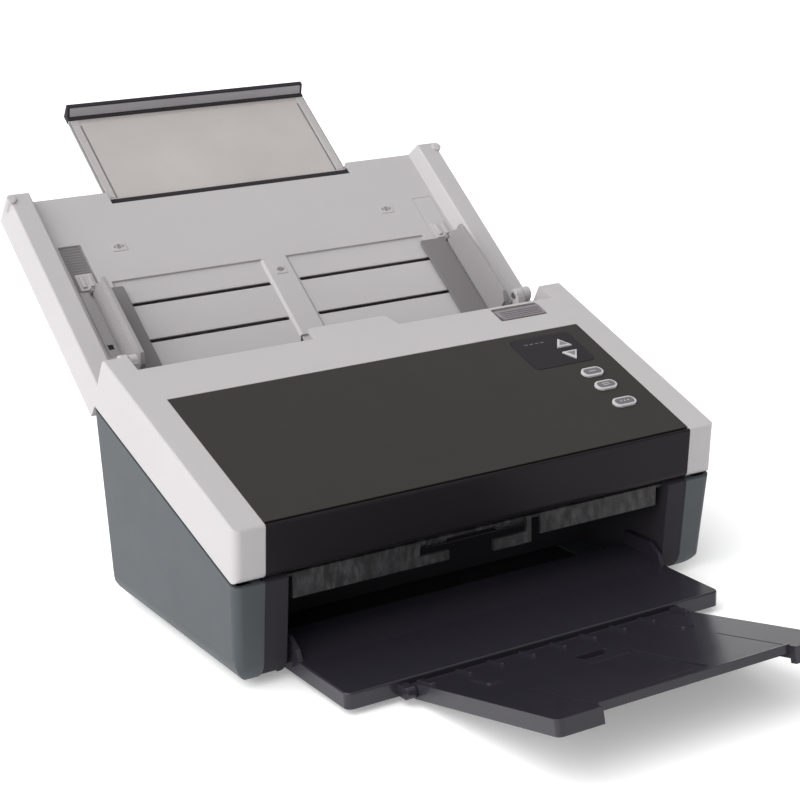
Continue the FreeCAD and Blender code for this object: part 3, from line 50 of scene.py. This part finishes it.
# Suns as (name, the side that the light comes from, strength), all wide enough for soft shadows
SUN_ANGLE = 90.0
SUNS = (
    ("key", (-0.82, -0.05, 0.57), 3.9),
    ("top", (-0.1, 0.1, 1.0), 0.6),
    ("fill", (-0.2, -0.95, 0.3), 0.25),
    ("back", (0.6, 0.75, 0.35), 0.5),
)
SKY_STRENGTH = 0.3

# The floor is a pale sheet that glows a little, so that it stays white in the shadows
FLOOR_HALF = 14.0
FLOOR_PALE = (0.93, 0.93, 0.93, 1.0)
FLOOR_DULL = (0.9, 0.9, 0.9, 1.0)
FLOOR_GLOW = 0.25
WHITE = (1.0, 1.0, 1.0, 1.0)

# The sloping planes that detail pieces lie in: y and z of the origin in metres, slope in degrees
COVER = (-0.08952, 0.0928, 20.18)
TRAY = (0.11602, 0.14391, 38.0)


# ---------------------------------------------------------------- node helpers


# Noise keeps near one half, so its middle band is what a range is stretched over
MIDDLE = (0.3, 0.7)
FULL = (0.0, 1.0)
# The cosine between a face and its bevelled normal, where a face is flat and where it is an edge
FLAT_TO_EDGE = (0.995, 0.9)
BEVEL_SAMPLES = 4


class Shader:
    """A material under construction: a Principled shader and short calls for its nodes."""

    def __init__(self, name):
        self.material = bpy.data.materials.new(name)
        self.material.use_nodes = True
        self.tree = self.material.node_tree
        self.tree.nodes.clear()
        self.out = self.add("ShaderNodeOutputMaterial")
        self.bsdf = self.add("ShaderNodeBsdfPrincipled")
        self.link(self.bsdf.outputs[0], self.out.inputs["Surface"])
        self.coord = self.add("ShaderNodeTexCoord").outputs["Object"]

    def add(self, kind, **settings):
        node = self.tree.nodes.new(kind)
        for key, value in settings.items():
            setattr(node, key, value)
        return node

    def link(self, a, b):
        self.tree.links.new(a, b)

    def put(self, socket, value):
        """Feeds a socket from another node's output, or sets it to a plain value."""
        if hasattr(value, "is_output"):
            self.link(value, socket)
        else:
            socket.default_value = value

    def surface(self, name, value):
        """Feeds or sets one input of the Principled shader."""
        self.put(self.bsdf.inputs[name], value)

    def noise(self, scale, detail=3.0, roughness=0.55, vector=None, distortion=0.0):
        node = self.add("ShaderNodeTexNoise")
        self.link(vector or self.coord, node.inputs["Vector"])
        node.inputs["Scale"].default_value = scale
        node.inputs["Detail"].default_value = detail
        node.inputs["Roughness"].default_value = roughness
        node.inputs["Distortion"].default_value = distortion
        return node.outputs["Fac"]

    def stretched(self, scale):
        """The object's own coordinates, scaled by a different amount along each axis."""
        node = self.add("ShaderNodeMapping")
        self.link(self.coord, node.inputs["Vector"])
        node.inputs["Scale"].default_value = scale
        return node.outputs["Vector"]

    def remap(self, value, to, band=MIDDLE):
        """Stretches one band of a value over another, and clamps what lies outside it."""
        node = self.add("ShaderNodeMapRange")
        self.link(value, node.inputs["Value"])
        for key, number in zip(("From Min", "From Max", "To Min", "To Max"), (*band, *to)):
            node.inputs[key].default_value = number
        return node.outputs["Result"]

    def blend(self, factor, a, b):
        node = self.add("ShaderNodeMix", data_type="RGBA")
        color_a, color_b = node.inputs[6], node.inputs[7]
        self.put(node.inputs["Factor"], factor)
        self.put(color_a, a)
        self.put(color_b, b)
        return node.outputs[2]

    def product(self, a, b):
        node = self.add("ShaderNodeMath", operation="MULTIPLY")
        self.put(node.inputs[0], a)
        self.put(node.inputs[1], b)
        return node.outputs[0]

    def soft_edges(self, radius):
        """A normal that rounds sharp edges, by a radius in metres."""
        node = self.add("ShaderNodeBevel", samples=BEVEL_SAMPLES)
        node.inputs["Radius"].default_value = radius
        return node.outputs["Normal"]

    def edge_mask(self, radius):
        """1 on sharp edges and 0 on flat faces."""
        dot = self.add("ShaderNodeVectorMath", operation="DOT_PRODUCT")
        self.link(self.soft_edges(radius), dot.inputs[0])
        self.link(self.add("ShaderNodeNewGeometry").outputs["Normal"], dot.inputs[1])
        return self.remap(dot.outputs["Value"], FULL, FLAT_TO_EDGE)

    def bump(self, height, strength, distance, normal=None):
        node = self.add("ShaderNodeBump")
        node.inputs["Strength"].default_value = strength
        node.inputs["Distance"].default_value = distance
        self.link(height, node.inputs["Height"])
        if normal:
            self.link(normal, node.inputs["Normal"])
        return node.outputs["Normal"]


def srgb(r, g, b):
    """Linear colour from 0 to 255 display values."""
    def line(c):
        c /= 255.0
        return c / 12.92 if c <= 0.04045 else ((c + 0.055) / 1.055) ** 2.4
    return (line(r), line(g), line(b), 1.0)


def scaled(color, k):
    return tuple(min(c * k, 1.0) for c in color[:3]) + (1.0,)


def moulded(name, color, rough, grain, edge=0.0006, wear_and_highlight=0.06, specular=0.4):
    """Injection moulded plastic: fine grain, slow colour drift, and edges lightened partly for wear and
    partly as a painted highlight.
    """
    drift, speck, pale = 0.025, 0.8, 2.2
    s = Shader(name)
    fine = s.noise(1300.0)
    slow = s.noise(9.0, 3.0, 0.5)
    cloud = s.noise(38.0, 4.0)
    base = s.blend(s.remap(slow, FULL), scaled(color, 1.0 - drift), scaled(color, 1.0 + drift))
    base = s.blend(s.remap(fine, (0.0, 0.05), (0.35, 0.65)), base, scaled(color, speck))
    # Edges blend towards a pale copy of the colour: partly wear, partly painted highlight
    worn_and_highlit = s.product(s.edge_mask(edge * 1.4), wear_and_highlight)
    s.surface("Base Color", s.blend(worn_and_highlit, base, scaled(color, pale)))
    s.surface("Roughness", s.remap(cloud, (rough - 0.02, rough + 0.03)))
    s.surface("Specular IOR Level", specular)
    s.surface("Normal", s.bump(fine, grain, 0.04 * MM, s.soft_edges(edge)))
    return s.material


def streaked_sheen(name, color, pale, rough):
    """Dark sheet with pale streaks along the paper's way and blurred smudges, painted as a reflection."""
    s = Shader(name)
    streaks = s.noise(95.0, 5.0, 0.65, s.stretched((2.6, 1.0, 1.0)))
    smudge = s.noise(48.0, 5.0, 0.62, distortion=0.6)
    # The pale streaks and smudges are a painted reflection on the dark sheet
    painted_sheen = s.product(s.remap(streaks, FULL, (0.4, 0.68)), s.remap(smudge, (0.15, 1.0), (0.38, 0.6)))
    s.surface("Base Color", s.blend(painted_sheen, color, pale))
    s.surface("Roughness", s.remap(smudge, (rough - 0.05, rough + 0.1)))
    s.surface("Normal", s.bump(streaks, 0.12, 0.1 * MM, s.soft_edges(0.4 * MM)))
    return s.material


def metal(name, color, rough, brushed=(1.0, 60.0, 60.0)):
    """Turned or brushed metal, streaked along one direction."""
    s = Shader(name)
    streaks = s.noise(55.0, 6.0, 0.7, s.stretched(brushed))
    cloud = s.noise(40.0, 4.0, 0.6)
    s.surface("Base Color", s.blend(s.remap(streaks, FULL), scaled(color, 0.78), scaled(color, 1.15)))
    s.surface("Roughness", s.remap(cloud, (rough - 0.06, rough + 0.1)))
    s.surface("Metallic", 1.0)
    s.surface("Normal", s.bump(streaks, 0.15, 0.05 * MM, s.soft_edges(0.4 * MM)))
    return s.material


def rubber(name, color):
    """Matt rubber with a little pale dust on it."""
    s = Shader(name)
    fine = s.noise(1500.0, 5.0, 0.7)
    dust = s.noise(45.0, 6.0, 0.65)
    s.surface("Base Color", s.blend(s.remap(dust, (0.0, 0.5), (0.5, 0.75)), color, scaled(color, 1.9)))
    s.surface("Roughness", s.remap(fine, (0.72, 0.9)))
    s.surface("Normal", s.bump(fine, 0.4, 0.1 * MM, s.soft_edges(0.5 * MM)))
    return s.material


def smoked(name, color, clear):
    """Smoky translucent sheet: a part of the light passes straight through, and less at its edges."""
    s = Shader(name)
    fine = s.noise(1800.0, 4.0, 0.6)
    slow = s.noise(14.0, 3.0, 0.5)
    s.surface("Base Color", s.blend(s.remap(slow, FULL), scaled(color, 0.93), scaled(color, 1.07)))
    s.surface("Roughness", s.remap(fine, (0.26, 0.34)))
    s.surface("Normal", s.bump(fine, 0.2, 0.05 * MM, s.soft_edges(0.5 * MM)))
    through = s.add("ShaderNodeBsdfTransparent")
    through.inputs["Color"].default_value = scaled(color, 1.7)
    mix = s.add("ShaderNodeMixShader")
    s.link(s.remap(s.edge_mask(1.2 * MM), (clear, 0.05), FULL), mix.inputs[0])
    s.link(s.bsdf.outputs[0], mix.inputs[1])
    s.link(through.outputs[0], mix.inputs[2])
    s.link(mix.outputs[0], s.out.inputs["Surface"])
    return s.material


def lens(name):
    """Clear scanner glass over a dark cavity, faintly smeared."""
    tint, smeared = (0.55, 0.62, 0.61, 1.0), (0.7, 0.76, 0.75, 1.0)
    band = (0.3, 0.8)
    s = Shader(name)
    smear = s.noise(60.0, 5.0, 0.65)
    s.surface("Roughness", s.remap(smear, (0.02, 0.09), band))
    s.surface("Base Color", s.blend(s.remap(smear, FULL, band), tint, smeared))
    s.surface("Transmission Weight", 0.9)
    s.surface("IOR", 1.5)
    s.surface("Normal", s.bump(smear, 0.05, 0.03 * MM))
    return s.material


def circuit(name):
    """Green solder mask with copper tracks under it."""
    mask, track, stain = (0.012, 0.095, 0.035, 1.0), (0.03, 0.17, 0.07, 1.0), (0.01, 0.06, 0.02, 1.0)
    s = Shader(name)
    tracks = s.add("ShaderNodeTexBrick")
    s.link(s.coord, tracks.inputs["Vector"])
    tracks.inputs["Scale"].default_value = 160.0
    tracks.inputs["Mortar Size"].default_value = 0.06
    fine = s.noise(900.0, 4.0, 0.6)
    base = s.blend(tracks.outputs["Fac"], mask, track)
    s.surface("Base Color", s.blend(s.remap(fine, (0.0, 0.3), (0.4, 0.7)), base, stain))
    s.surface("Roughness", s.remap(fine, (0.3, 0.42)))
    s.surface("Normal", s.bump(tracks.outputs["Fac"], 0.3, 0.1 * MM))
    return s.material


# ---------------------------------------------------------------- finishes


# One finish for each material slot of the CAD. Moulded ones give colour, roughness and grain.
FINISH = {
    "light_plastic": moulded("light_plastic", srgb(173, 170, 171), 0.45, 0.06, wear_and_highlight=0.05, edge=0.8 * MM),
    "dark_panel": moulded("dark_panel", srgb(43, 41, 39), 0.5, 0.06, specular=0.2),
    "black_gloss": moulded("black_gloss", srgb(33, 30, 33), 0.3, 0.015, specular=0.08),
    "body_grey": moulded("body_grey", srgb(66, 71, 75), 0.5, 0.12, edge=1.0 * MM, specular=0.3),
    "inner_black": moulded("inner_black", srgb(48, 46, 50), 0.6, 0.1, specular=0.06),
    # path_grey: a dark sheet with a painted reflection in pale streaks
    "path_grey": streaked_sheen("path_grey", srgb(28, 27, 29), srgb(76, 74, 76), 0.6),
    # tray_black's edges are lightened more than the rest, as painted highlights on its ribs
    "tray_black": moulded("tray_black", srgb(42, 40, 47), 0.18, 0.01, edge=0.5 * MM, wear_and_highlight=0.12,
                          specular=0.35),
    "mid_grey": moulded("mid_grey", srgb(122, 117, 120), 0.5, 0.1),
    "guide_grey": moulded("guide_grey", srgb(112, 109, 110), 0.5, 0.1, wear_and_highlight=0.1),
    "key_plastic": moulded("key_plastic", srgb(178, 176, 178), 0.35, 0.04),
    "smoke": smoked("smoke", srgb(180, 176, 174), 0.3),
    "steel": metal("steel", (0.58, 0.58, 0.6), 0.3),
    "screw_steel": metal("screw_steel", (0.22, 0.22, 0.23), 0.38),
    "motor_steel": metal("motor_steel", (0.45, 0.45, 0.46), 0.42, (60.0, 4.0, 4.0)),
    "rubber": rubber("rubber", srgb(34, 34, 35)),
    "grey_rubber": rubber("grey_rubber", srgb(70, 70, 72)),
    "window_glass": lens("window_glass"),
    "board_green": circuit("board_green"),
    "bushing": moulded("bushing", srgb(190, 184, 170), 0.4, 0.08),
    "connector": moulded("connector", srgb(26, 26, 27), 0.35, 0.1),
}
WINDOW_FINISH = moulded("window_gloss", srgb(33, 30, 33), 0.16, 0.01, specular=0.12)
LABEL_FINISH = moulded("label_grey", srgb(98, 96, 98), 0.5, 0.05)
STRIP_FINISH = moulded("strip_grey", srgb(118, 115, 116), 0.5, 0.1)
LANE_FINISH = moulded("lane_grey", srgb(152, 149, 151), 0.48, 0.08)
LIP_FINISH = smoked("lip_smoke", srgb(150, 147, 150), 0.1)
EDGE_FINISH = smoked("edge_clear", srgb(196, 193, 193), 0.4)
# The guide plates' edges are lightened more than the rest, a painted highlight along their top edges
GUIDE_FINISH = moulded("guide_plate", srgb(143, 140, 142), 0.42, 0.05, edge=0.4 * MM, wear_and_highlight=0.15)
MARK_FINISH = moulded("mark_grey", srgb(126, 122, 123), 0.5, 0.05)

# Nodes that differ from the rest of their slot
OWN_FINISH = {
    "display_window": WINDOW_FINISH,
    "paper_guide_left": GUIDE_FINISH,
    "paper_guide_right": GUIDE_FINISH,
}


def dress():
    """Each CAD node takes the finish its material slot names, or its own."""
    slots = {part["node"]: part["material_slot"] for part in frame["record"]["subparts"]}
    for node, obj in frame["nodes"].items():
        obj.data.materials.clear()
        obj.data.materials.append(OWN_FINISH.get(node, FINISH[slots[node]]))


# ---------------------------------------------------------------- outlines and pieces


# How far the upper edges of slabs are softened, in millimetres
SOFT = 0.1
SOFT_MARK = 0.08
SOFT_THIN = 0.05


def on_plane(plane):
    """Places millimetres in a sloping plane (across, up the slope, out of it) into the scanner."""
    y, z, slope = plane
    return (Matrix.Translation((0.0, y, z)) @ Matrix.Rotation(math.radians(slope), 4, "X")
            @ Matrix.Scale(MM, 4))


def rounded_outline(x, y, r, steps=2):
    """A rectangle's outline with rounded corners, anticlockwise."""
    centres = ((x[1] - r, y[0] + r, -90), (x[1] - r, y[1] - r, 0), (x[0] + r, y[1] - r, 90),
               (x[0] + r, y[0] + r, 180))
    return [(cx + r * math.cos(math.radians(a + 90 * k / steps)),
             cy + r * math.sin(math.radians(a + 90 * k / steps)))
            for cx, cy, a in centres for k in range(steps + 1)]


def shrunk(outline, by):
    """A convex outline drawn towards its middle by the same distance all round."""
    n = len(outline)
    result = []
    for k in range(n):
        p, q, r = (Vector(outline[(k + i) % n]) for i in (-1, 0, 1))
        a, b = (q - p).normalized(), (r - q).normalized()
        normal = (Vector((-a.y, a.x)) + Vector((-b.y, b.x))).normalized()
        lean = max(normal.dot(Vector((-a.y, a.x))), 0.5)
        result.append(tuple(q + normal * by / lean))
    return result


def both_ways(near, far):
    """The same span across on the left and on the right, each from low to high."""
    return ((-far, -near), (near, far))


def add_slab(bm, outline, low, high, soft):
    """A flat slab with its upper edge softened, all in millimetres."""
    rows = [(outline, low), (outline, high - soft), (shrunk(outline, soft), high)]
    rings = [[bm.verts.new((x, y, h)) for x, y in ring] for ring, h in rows]
    n = len(outline)
    for below, above in zip(rings, rings[1:]):
        for k in range(n):
            bm.faces.new((below[k], below[(k + 1) % n], above[(k + 1) % n], above[k]))
    bm.faces.new(rings[-1])
    bm.faces.new(list(reversed(rings[0])))


def add_run(bm, profile, x):
    """A cross section of (y, z) points stretched from one x to the other."""
    ends = [[bm.verts.new((at, y, z)) for y, z in profile] for at in x]
    n = len(profile)
    for k in range(n):
        bm.faces.new((ends[0][k], ends[0][(k + 1) % n], ends[1][(k + 1) % n], ends[1][k]))
    bm.faces.new(list(reversed(ends[0])))
    bm.faces.new(ends[1])


def add_bar(bm, x, y, z):
    """A plain rectangular bar."""
    add_run(bm, [(y[0], z[0]), (y[1], z[0]), (y[1], z[1]), (y[0], z[1])], x)


def piece(name, bm, plane, body, finish):
    """Makes the shape a piece of the scanner that rides on one body."""
    bmesh.ops.recalc_face_normals(bm, faces=bm.faces)
    mesh = bpy.data.meshes.new(name)
    bm.to_mesh(mesh)
    bm.free()
    mesh.transform(on_plane(plane))
    mesh.materials.append(finish)
    obj = bpy.data.objects.new(name, mesh)
    bpy.context.scene.collection.objects.link(obj)
    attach(obj, body)


# ---------------------------------------------------------------- the cover's keys and display


# The keys' outlines across and up the slope, and the bars of the mark on each, from its middle
KEY_TOP = 1.2
KEYS = {
    "simplex": ((109.0, 124.0), (63.7, 71.9), ((-2.6, 2.6, -0.35, 0.35),)),
    "duplex": ((109.0, 124.0), (49.6, 57.8), ((-2.6, 2.6, 0.5, 1.1), (-2.6, 2.6, -1.1, -0.5))),
    "function": ((109.0, 125.0), (31.5, 39.6),
                 ((-3.0, -2.0, -0.5, 0.5), (-0.5, 0.5, -0.5, 0.5), (2.0, 3.0, -0.5, 0.5))),
}
ARROWS = {
    "up": [(110.6, 96.4), (121.4, 96.4), (116.0, 104.3)],
    "down": [(110.6, 91.2), (116.0, 83.2), (121.4, 91.2)],
}
INLAY_HEIGHTS = (KEY_TOP - 0.4, KEY_TOP + 0.12)
KEY_MARK_HEIGHTS = (KEY_TOP, KEY_TOP + 0.22)
KEY_MARK_CORNER = 0.2
LABEL_MARGIN = (1.5, 1.3)
LABEL_CORNER = 2.4
LABEL_STEPS = 5
ARROW_MARGIN = 1.3

DASHES = 4
DASH_START = 92.0
DASH_PITCH = 3.9
DASH_LENGTH = 2.6
DASH_S = (104.4, 105.2)
DASH_HEIGHTS = (0.0, 0.24)
DASH_CORNER = 0.3
DASH_SOFT = 0.06


def key_details():
    """An inset label with a generic mark on each key, and an inner triangle on each arrow."""
    for name, (x, s, marks) in KEYS.items():
        label = bmesh.new()
        across = (x[0] + LABEL_MARGIN[0], x[1] - LABEL_MARGIN[0])
        up = (s[0] + LABEL_MARGIN[1], s[1] - LABEL_MARGIN[1])
        add_slab(label, rounded_outline(across, up, LABEL_CORNER, LABEL_STEPS), *INLAY_HEIGHTS, SOFT)
        piece(name + "_label", label, COVER, name + "_button", LABEL_FINISH)
        mark = bmesh.new()
        cx, cs = sum(x) / 2, sum(s) / 2
        for x0, x1, s0, s1 in marks:
            bar = rounded_outline((cx + x0, cx + x1), (cs + s0, cs + s1), KEY_MARK_CORNER)
            add_slab(mark, bar, *KEY_MARK_HEIGHTS, SOFT_THIN)
        piece(name + "_mark", mark, COVER, name + "_button", FINISH["key_plastic"])
    for name, outline in ARROWS.items():
        inner = bmesh.new()
        add_slab(inner, shrunk(outline, ARROW_MARGIN), *INLAY_HEIGHTS, SOFT)
        piece(name + "_arrow_inner", inner, COVER, name + "_button", STRIP_FINISH)


def display_marks():
    """A short row of dashes in the display, standing for no reading at all."""
    bm = bmesh.new()
    for k in range(DASHES):
        x = DASH_START + DASH_PITCH * k
        add_slab(bm, rounded_outline((x, x + DASH_LENGTH), DASH_S, DASH_CORNER), *DASH_HEIGHTS, DASH_SOFT)
    piece("display_dashes", bm, COVER, "cover", LABEL_FINISH)


# ---------------------------------------------------------------- the input tray


# The recesses beside the guides, in the tray's plane: u across, v up the slope, h out of it
RECESS_FLOOR = -1.4
RECESS_U = (-133.4, -119.6)
STRIP_V = (39.4, 74.6)
STRIP_TOP = -0.8
STRIP_CORNER = 1.0
STRIP_STEPS = 3
RIBS = 10
RIB_U = (-132.0, -121.0)
RIB_START = 53.4
RIB_PITCH = 2.1
RIB_WIDTH = 0.9
RIB_CORNER = 0.3
RIB_HEIGHTS = (STRIP_TOP - 0.1, STRIP_TOP + 0.3)
LANE_V = (-11.6, 39.2)
LANE_TOP = -0.6
LANE_CORNER = 0.1
HOLE_U = (-131.8, -128.2)
HOLE_V = (-5.8, -2.2)
PIT_TOP = RECESS_FLOOR + 0.2
INSERT_U = (119.1, 133.9)
INSERT_V = (-11.9, 74.9)
INSERT_TOP = -0.03
INSERT_CORNER = 1.4
INSERT_STEPS = 4

# The raised pads' middles in u and v, and how far the arrowheads of their marks reach
PADS = (("left", -96.0, 69.5, 3.7), ("right", 96.0, 69.5, 3.7), ("centre", 0.0, 33.5, 2.9))
MARK_HEIGHTS = (0.2, 0.42)
SYMBOL_HALF = (1.2, 1.7)
SYMBOL_CORNER = 0.3
ARROWHEAD = (1.6, 1.3)  # how long, and half of how wide


def recess_inserts():
    """Left: a ribbed dark strip behind, a lighter lane with a square hole in front. Right: a plain
    insert, flush with the tray's floor."""
    strip = bmesh.new()
    bed = rounded_outline(RECESS_U, STRIP_V, STRIP_CORNER, STRIP_STEPS)
    add_slab(strip, bed, RECESS_FLOOR, STRIP_TOP, SOFT)
    for k in range(RIBS):
        v = RIB_START + RIB_PITCH * k
        add_slab(strip, rounded_outline(RIB_U, (v, v + RIB_WIDTH), RIB_CORNER), *RIB_HEIGHTS, SOFT)
    piece("recess_strip", strip, TRAY, "input_tray", STRIP_FINISH)
    lane = bmesh.new()
    behind, before = (HOLE_V[1], LANE_V[1]), (LANE_V[0], HOLE_V[0])
    outer, inner = (RECESS_U[0], HOLE_U[0]), (HOLE_U[1], RECESS_U[1])
    for u, v in ((RECESS_U, behind), (RECESS_U, before), (outer, HOLE_V), (inner, HOLE_V)):
        add_slab(lane, rounded_outline(u, v, LANE_CORNER), RECESS_FLOOR, LANE_TOP, SOFT_THIN)
    piece("recess_lane", lane, TRAY, "input_tray", LANE_FINISH)
    pit = bmesh.new()
    add_slab(pit, rounded_outline(HOLE_U, HOLE_V, LANE_CORNER), RECESS_FLOOR, PIT_TOP, SOFT_THIN)
    piece("recess_pit", pit, TRAY, "input_tray", FINISH["inner_black"])
    cover = bmesh.new()
    insert = rounded_outline(INSERT_U, INSERT_V, INSERT_CORNER, INSERT_STEPS)
    add_slab(cover, insert, RECESS_FLOOR, INSERT_TOP, SOFT_MARK)
    piece("recess_cover", cover, TRAY, "input_tray", FINISH["light_plastic"])


def tray_marks():
    """A small generic sheet symbol between two arrowheads on each raised pad of the tray."""
    half_u, half_v = SYMBOL_HALF
    for name, u, v, reach in PADS:
        bm = bmesh.new()
        sheet = rounded_outline((u - half_u, u + half_u), (v - half_v, v + half_v), SYMBOL_CORNER)
        add_slab(bm, sheet, *MARK_HEIGHTS, SOFT_MARK)
        for way in (-1, 1):
            root, half = u + way * (reach - ARROWHEAD[0]), way * ARROWHEAD[1]
            arrowhead = [(u + way * reach, v), (root, v + half), (root, v - half)]
            add_slab(bm, arrowhead, *MARK_HEIGHTS, SOFT_MARK)
        piece("tray_mark_" + name, bm, TRAY, "input_tray", MARK_FINISH)


# ---------------------------------------------------------------- the tray's extension


# The lip's sloping front face and the sheet's top, in the tray's plane: v up the slope, h out of it
LIP_FOOT = (182.5, -2.8)
LIP_CREST = (185.4, 3.0)
LIP_HALF = 86.0
EXTENSION_START = 112.0
EXTENSION_TOP = -3.5
EDGE_U = (LIP_HALF - 0.5, LIP_HALF + 0.12)
EDGE_END = 179.0
EDGE_DEPTH = 2.1
# A fine dark line inside each edge, standing in as painted shade of a groove
GROOVE_SHADE_U = (79.0, 79.8)
GROOVE_SHADE_END = 174.0
GROOVE_SHADE_DEPTH = 0.4
MARGIN_U = (80.3, 85.3)
MARGIN_END = 179.4
MARGIN_H = (EXTENSION_TOP - 0.2, EXTENSION_TOP + 0.05)
FACING_INSET = 1.6
# The facing's cross section: a thin skin from the foot to the crest, as steps from those two
FACING_STEPS = ((LIP_FOOT, (-0.2, 0.3)), (LIP_CREST, (-0.4, -0.6)), (LIP_CREST, (0.2, -0.8)),
                (LIP_FOOT, (0.5, 0.1)))


def extension_details():
    """A smoky facing on the lip, the sheet's dark edges with a fine dark line inside each, which is
    painted shade of a groove, and the clearer margins between them."""
    facing = bmesh.new()
    profile = [(v + step_v, h + step_h) for (v, h), (step_v, step_h) in FACING_STEPS]
    add_run(facing, profile, (-LIP_HALF + FACING_INSET, LIP_HALF - FACING_INSET))
    piece("lip_facing", facing, TRAY, "tray_extension", LIP_FINISH)
    edges = bmesh.new()
    for rim, line in zip(both_ways(*EDGE_U), both_ways(*GROOVE_SHADE_U)):
        add_bar(edges, rim, (EXTENSION_START, EDGE_END), (EXTENSION_TOP - EDGE_DEPTH, EXTENSION_TOP))
        add_bar(edges, line, (EXTENSION_START, GROOVE_SHADE_END), (EXTENSION_TOP - GROOVE_SHADE_DEPTH, EXTENSION_TOP))
    piece("extension_edges_and_groove_shade", edges, TRAY, "tray_extension", STRIP_FINISH)
    margins = bmesh.new()
    for u in both_ways(*MARGIN_U):
        add_bar(margins, u, (EXTENSION_START, MARGIN_END), MARGIN_H)
    piece("extension_margins", margins, TRAY, "tray_extension", EDGE_FINISH)


def build_details():
    key_details()
    display_marks()
    recess_inserts()
    tray_marks()
    extension_details()


# ---------------------------------------------------------------- stage, camera and light


def place_camera():
    """Looks along the azimuth and elevation, turned about its own axis by the roll."""
    az, el, roll = (math.radians(a) for a in (CAMERA_AZIMUTH, CAMERA_ELEVATION, CAMERA_ROLL))
    back = Vector((math.sin(az) * math.cos(el), -math.cos(az) * math.cos(el), math.sin(el)))
    level = Vector((math.cos(az), math.sin(az), 0.0))
    rise = back.cross(level)
    right = level * math.cos(roll) + rise * math.sin(roll)
    up = rise * math.cos(roll) - level * math.sin(roll)
    data = bpy.data.cameras.new("camera")
    data.lens = CAMERA_LENS
    data.sensor_width = SENSOR
    data.clip_end = CAMERA_REACH
    camera = bpy.data.objects.new("camera", data)
    turn = Matrix((right, up, back)).transposed().to_4x4()
    camera.matrix_world = Matrix.Translation(CAMERA_AT) @ turn
    bpy.context.scene.collection.objects.link(camera)
    bpy.context.scene.camera = camera


def build_floor():
    mesh = bpy.data.meshes.new("floor")
    bm = bmesh.new()
    bmesh.ops.create_grid(bm, x_segments=2, y_segments=2, size=FLOOR_HALF)
    bm.to_mesh(mesh)
    bm.free()
    floor = bpy.data.objects.new("floor", mesh)
    s = Shader("floor_paper")
    slow = s.noise(3.0, 3.0, 0.5)
    s.surface("Base Color", s.blend(s.remap(slow, FULL), FLOOR_DULL, FLOOR_PALE))
    s.surface("Roughness", 0.85)
    s.surface("Specular IOR Level", 0.15)
    s.surface("Emission Color", WHITE)
    s.surface("Emission Strength", FLOOR_GLOW)
    mesh.materials.append(s.material)
    bpy.context.scene.collection.objects.link(floor)


def soft_sun(name, toward, strength):
    """Even light from one side of the sky."""
    data = bpy.data.lights.new(name, "SUN")
    data.energy = strength
    data.angle = math.radians(SUN_ANGLE)
    light = bpy.data.objects.new(name, data)
    light.rotation_euler = Vector(toward).to_track_quat("Z", "Y").to_euler()
    bpy.context.scene.collection.objects.link(light)


def build_lights():
    world = bpy.data.worlds.new("studio")
    world.use_nodes = True
    sky = world.node_tree.nodes["Background"]
    sky.inputs["Color"].default_value = WHITE
    sky.inputs["Strength"].default_value = SKY_STRENGTH
    bpy.context.scene.world = world
    for sun in SUNS:
        soft_sun(*sun)


bpy.context.scene.view_settings.view_transform = "Standard"
dress()
build_details()
place_camera()
build_floor()
build_lights()
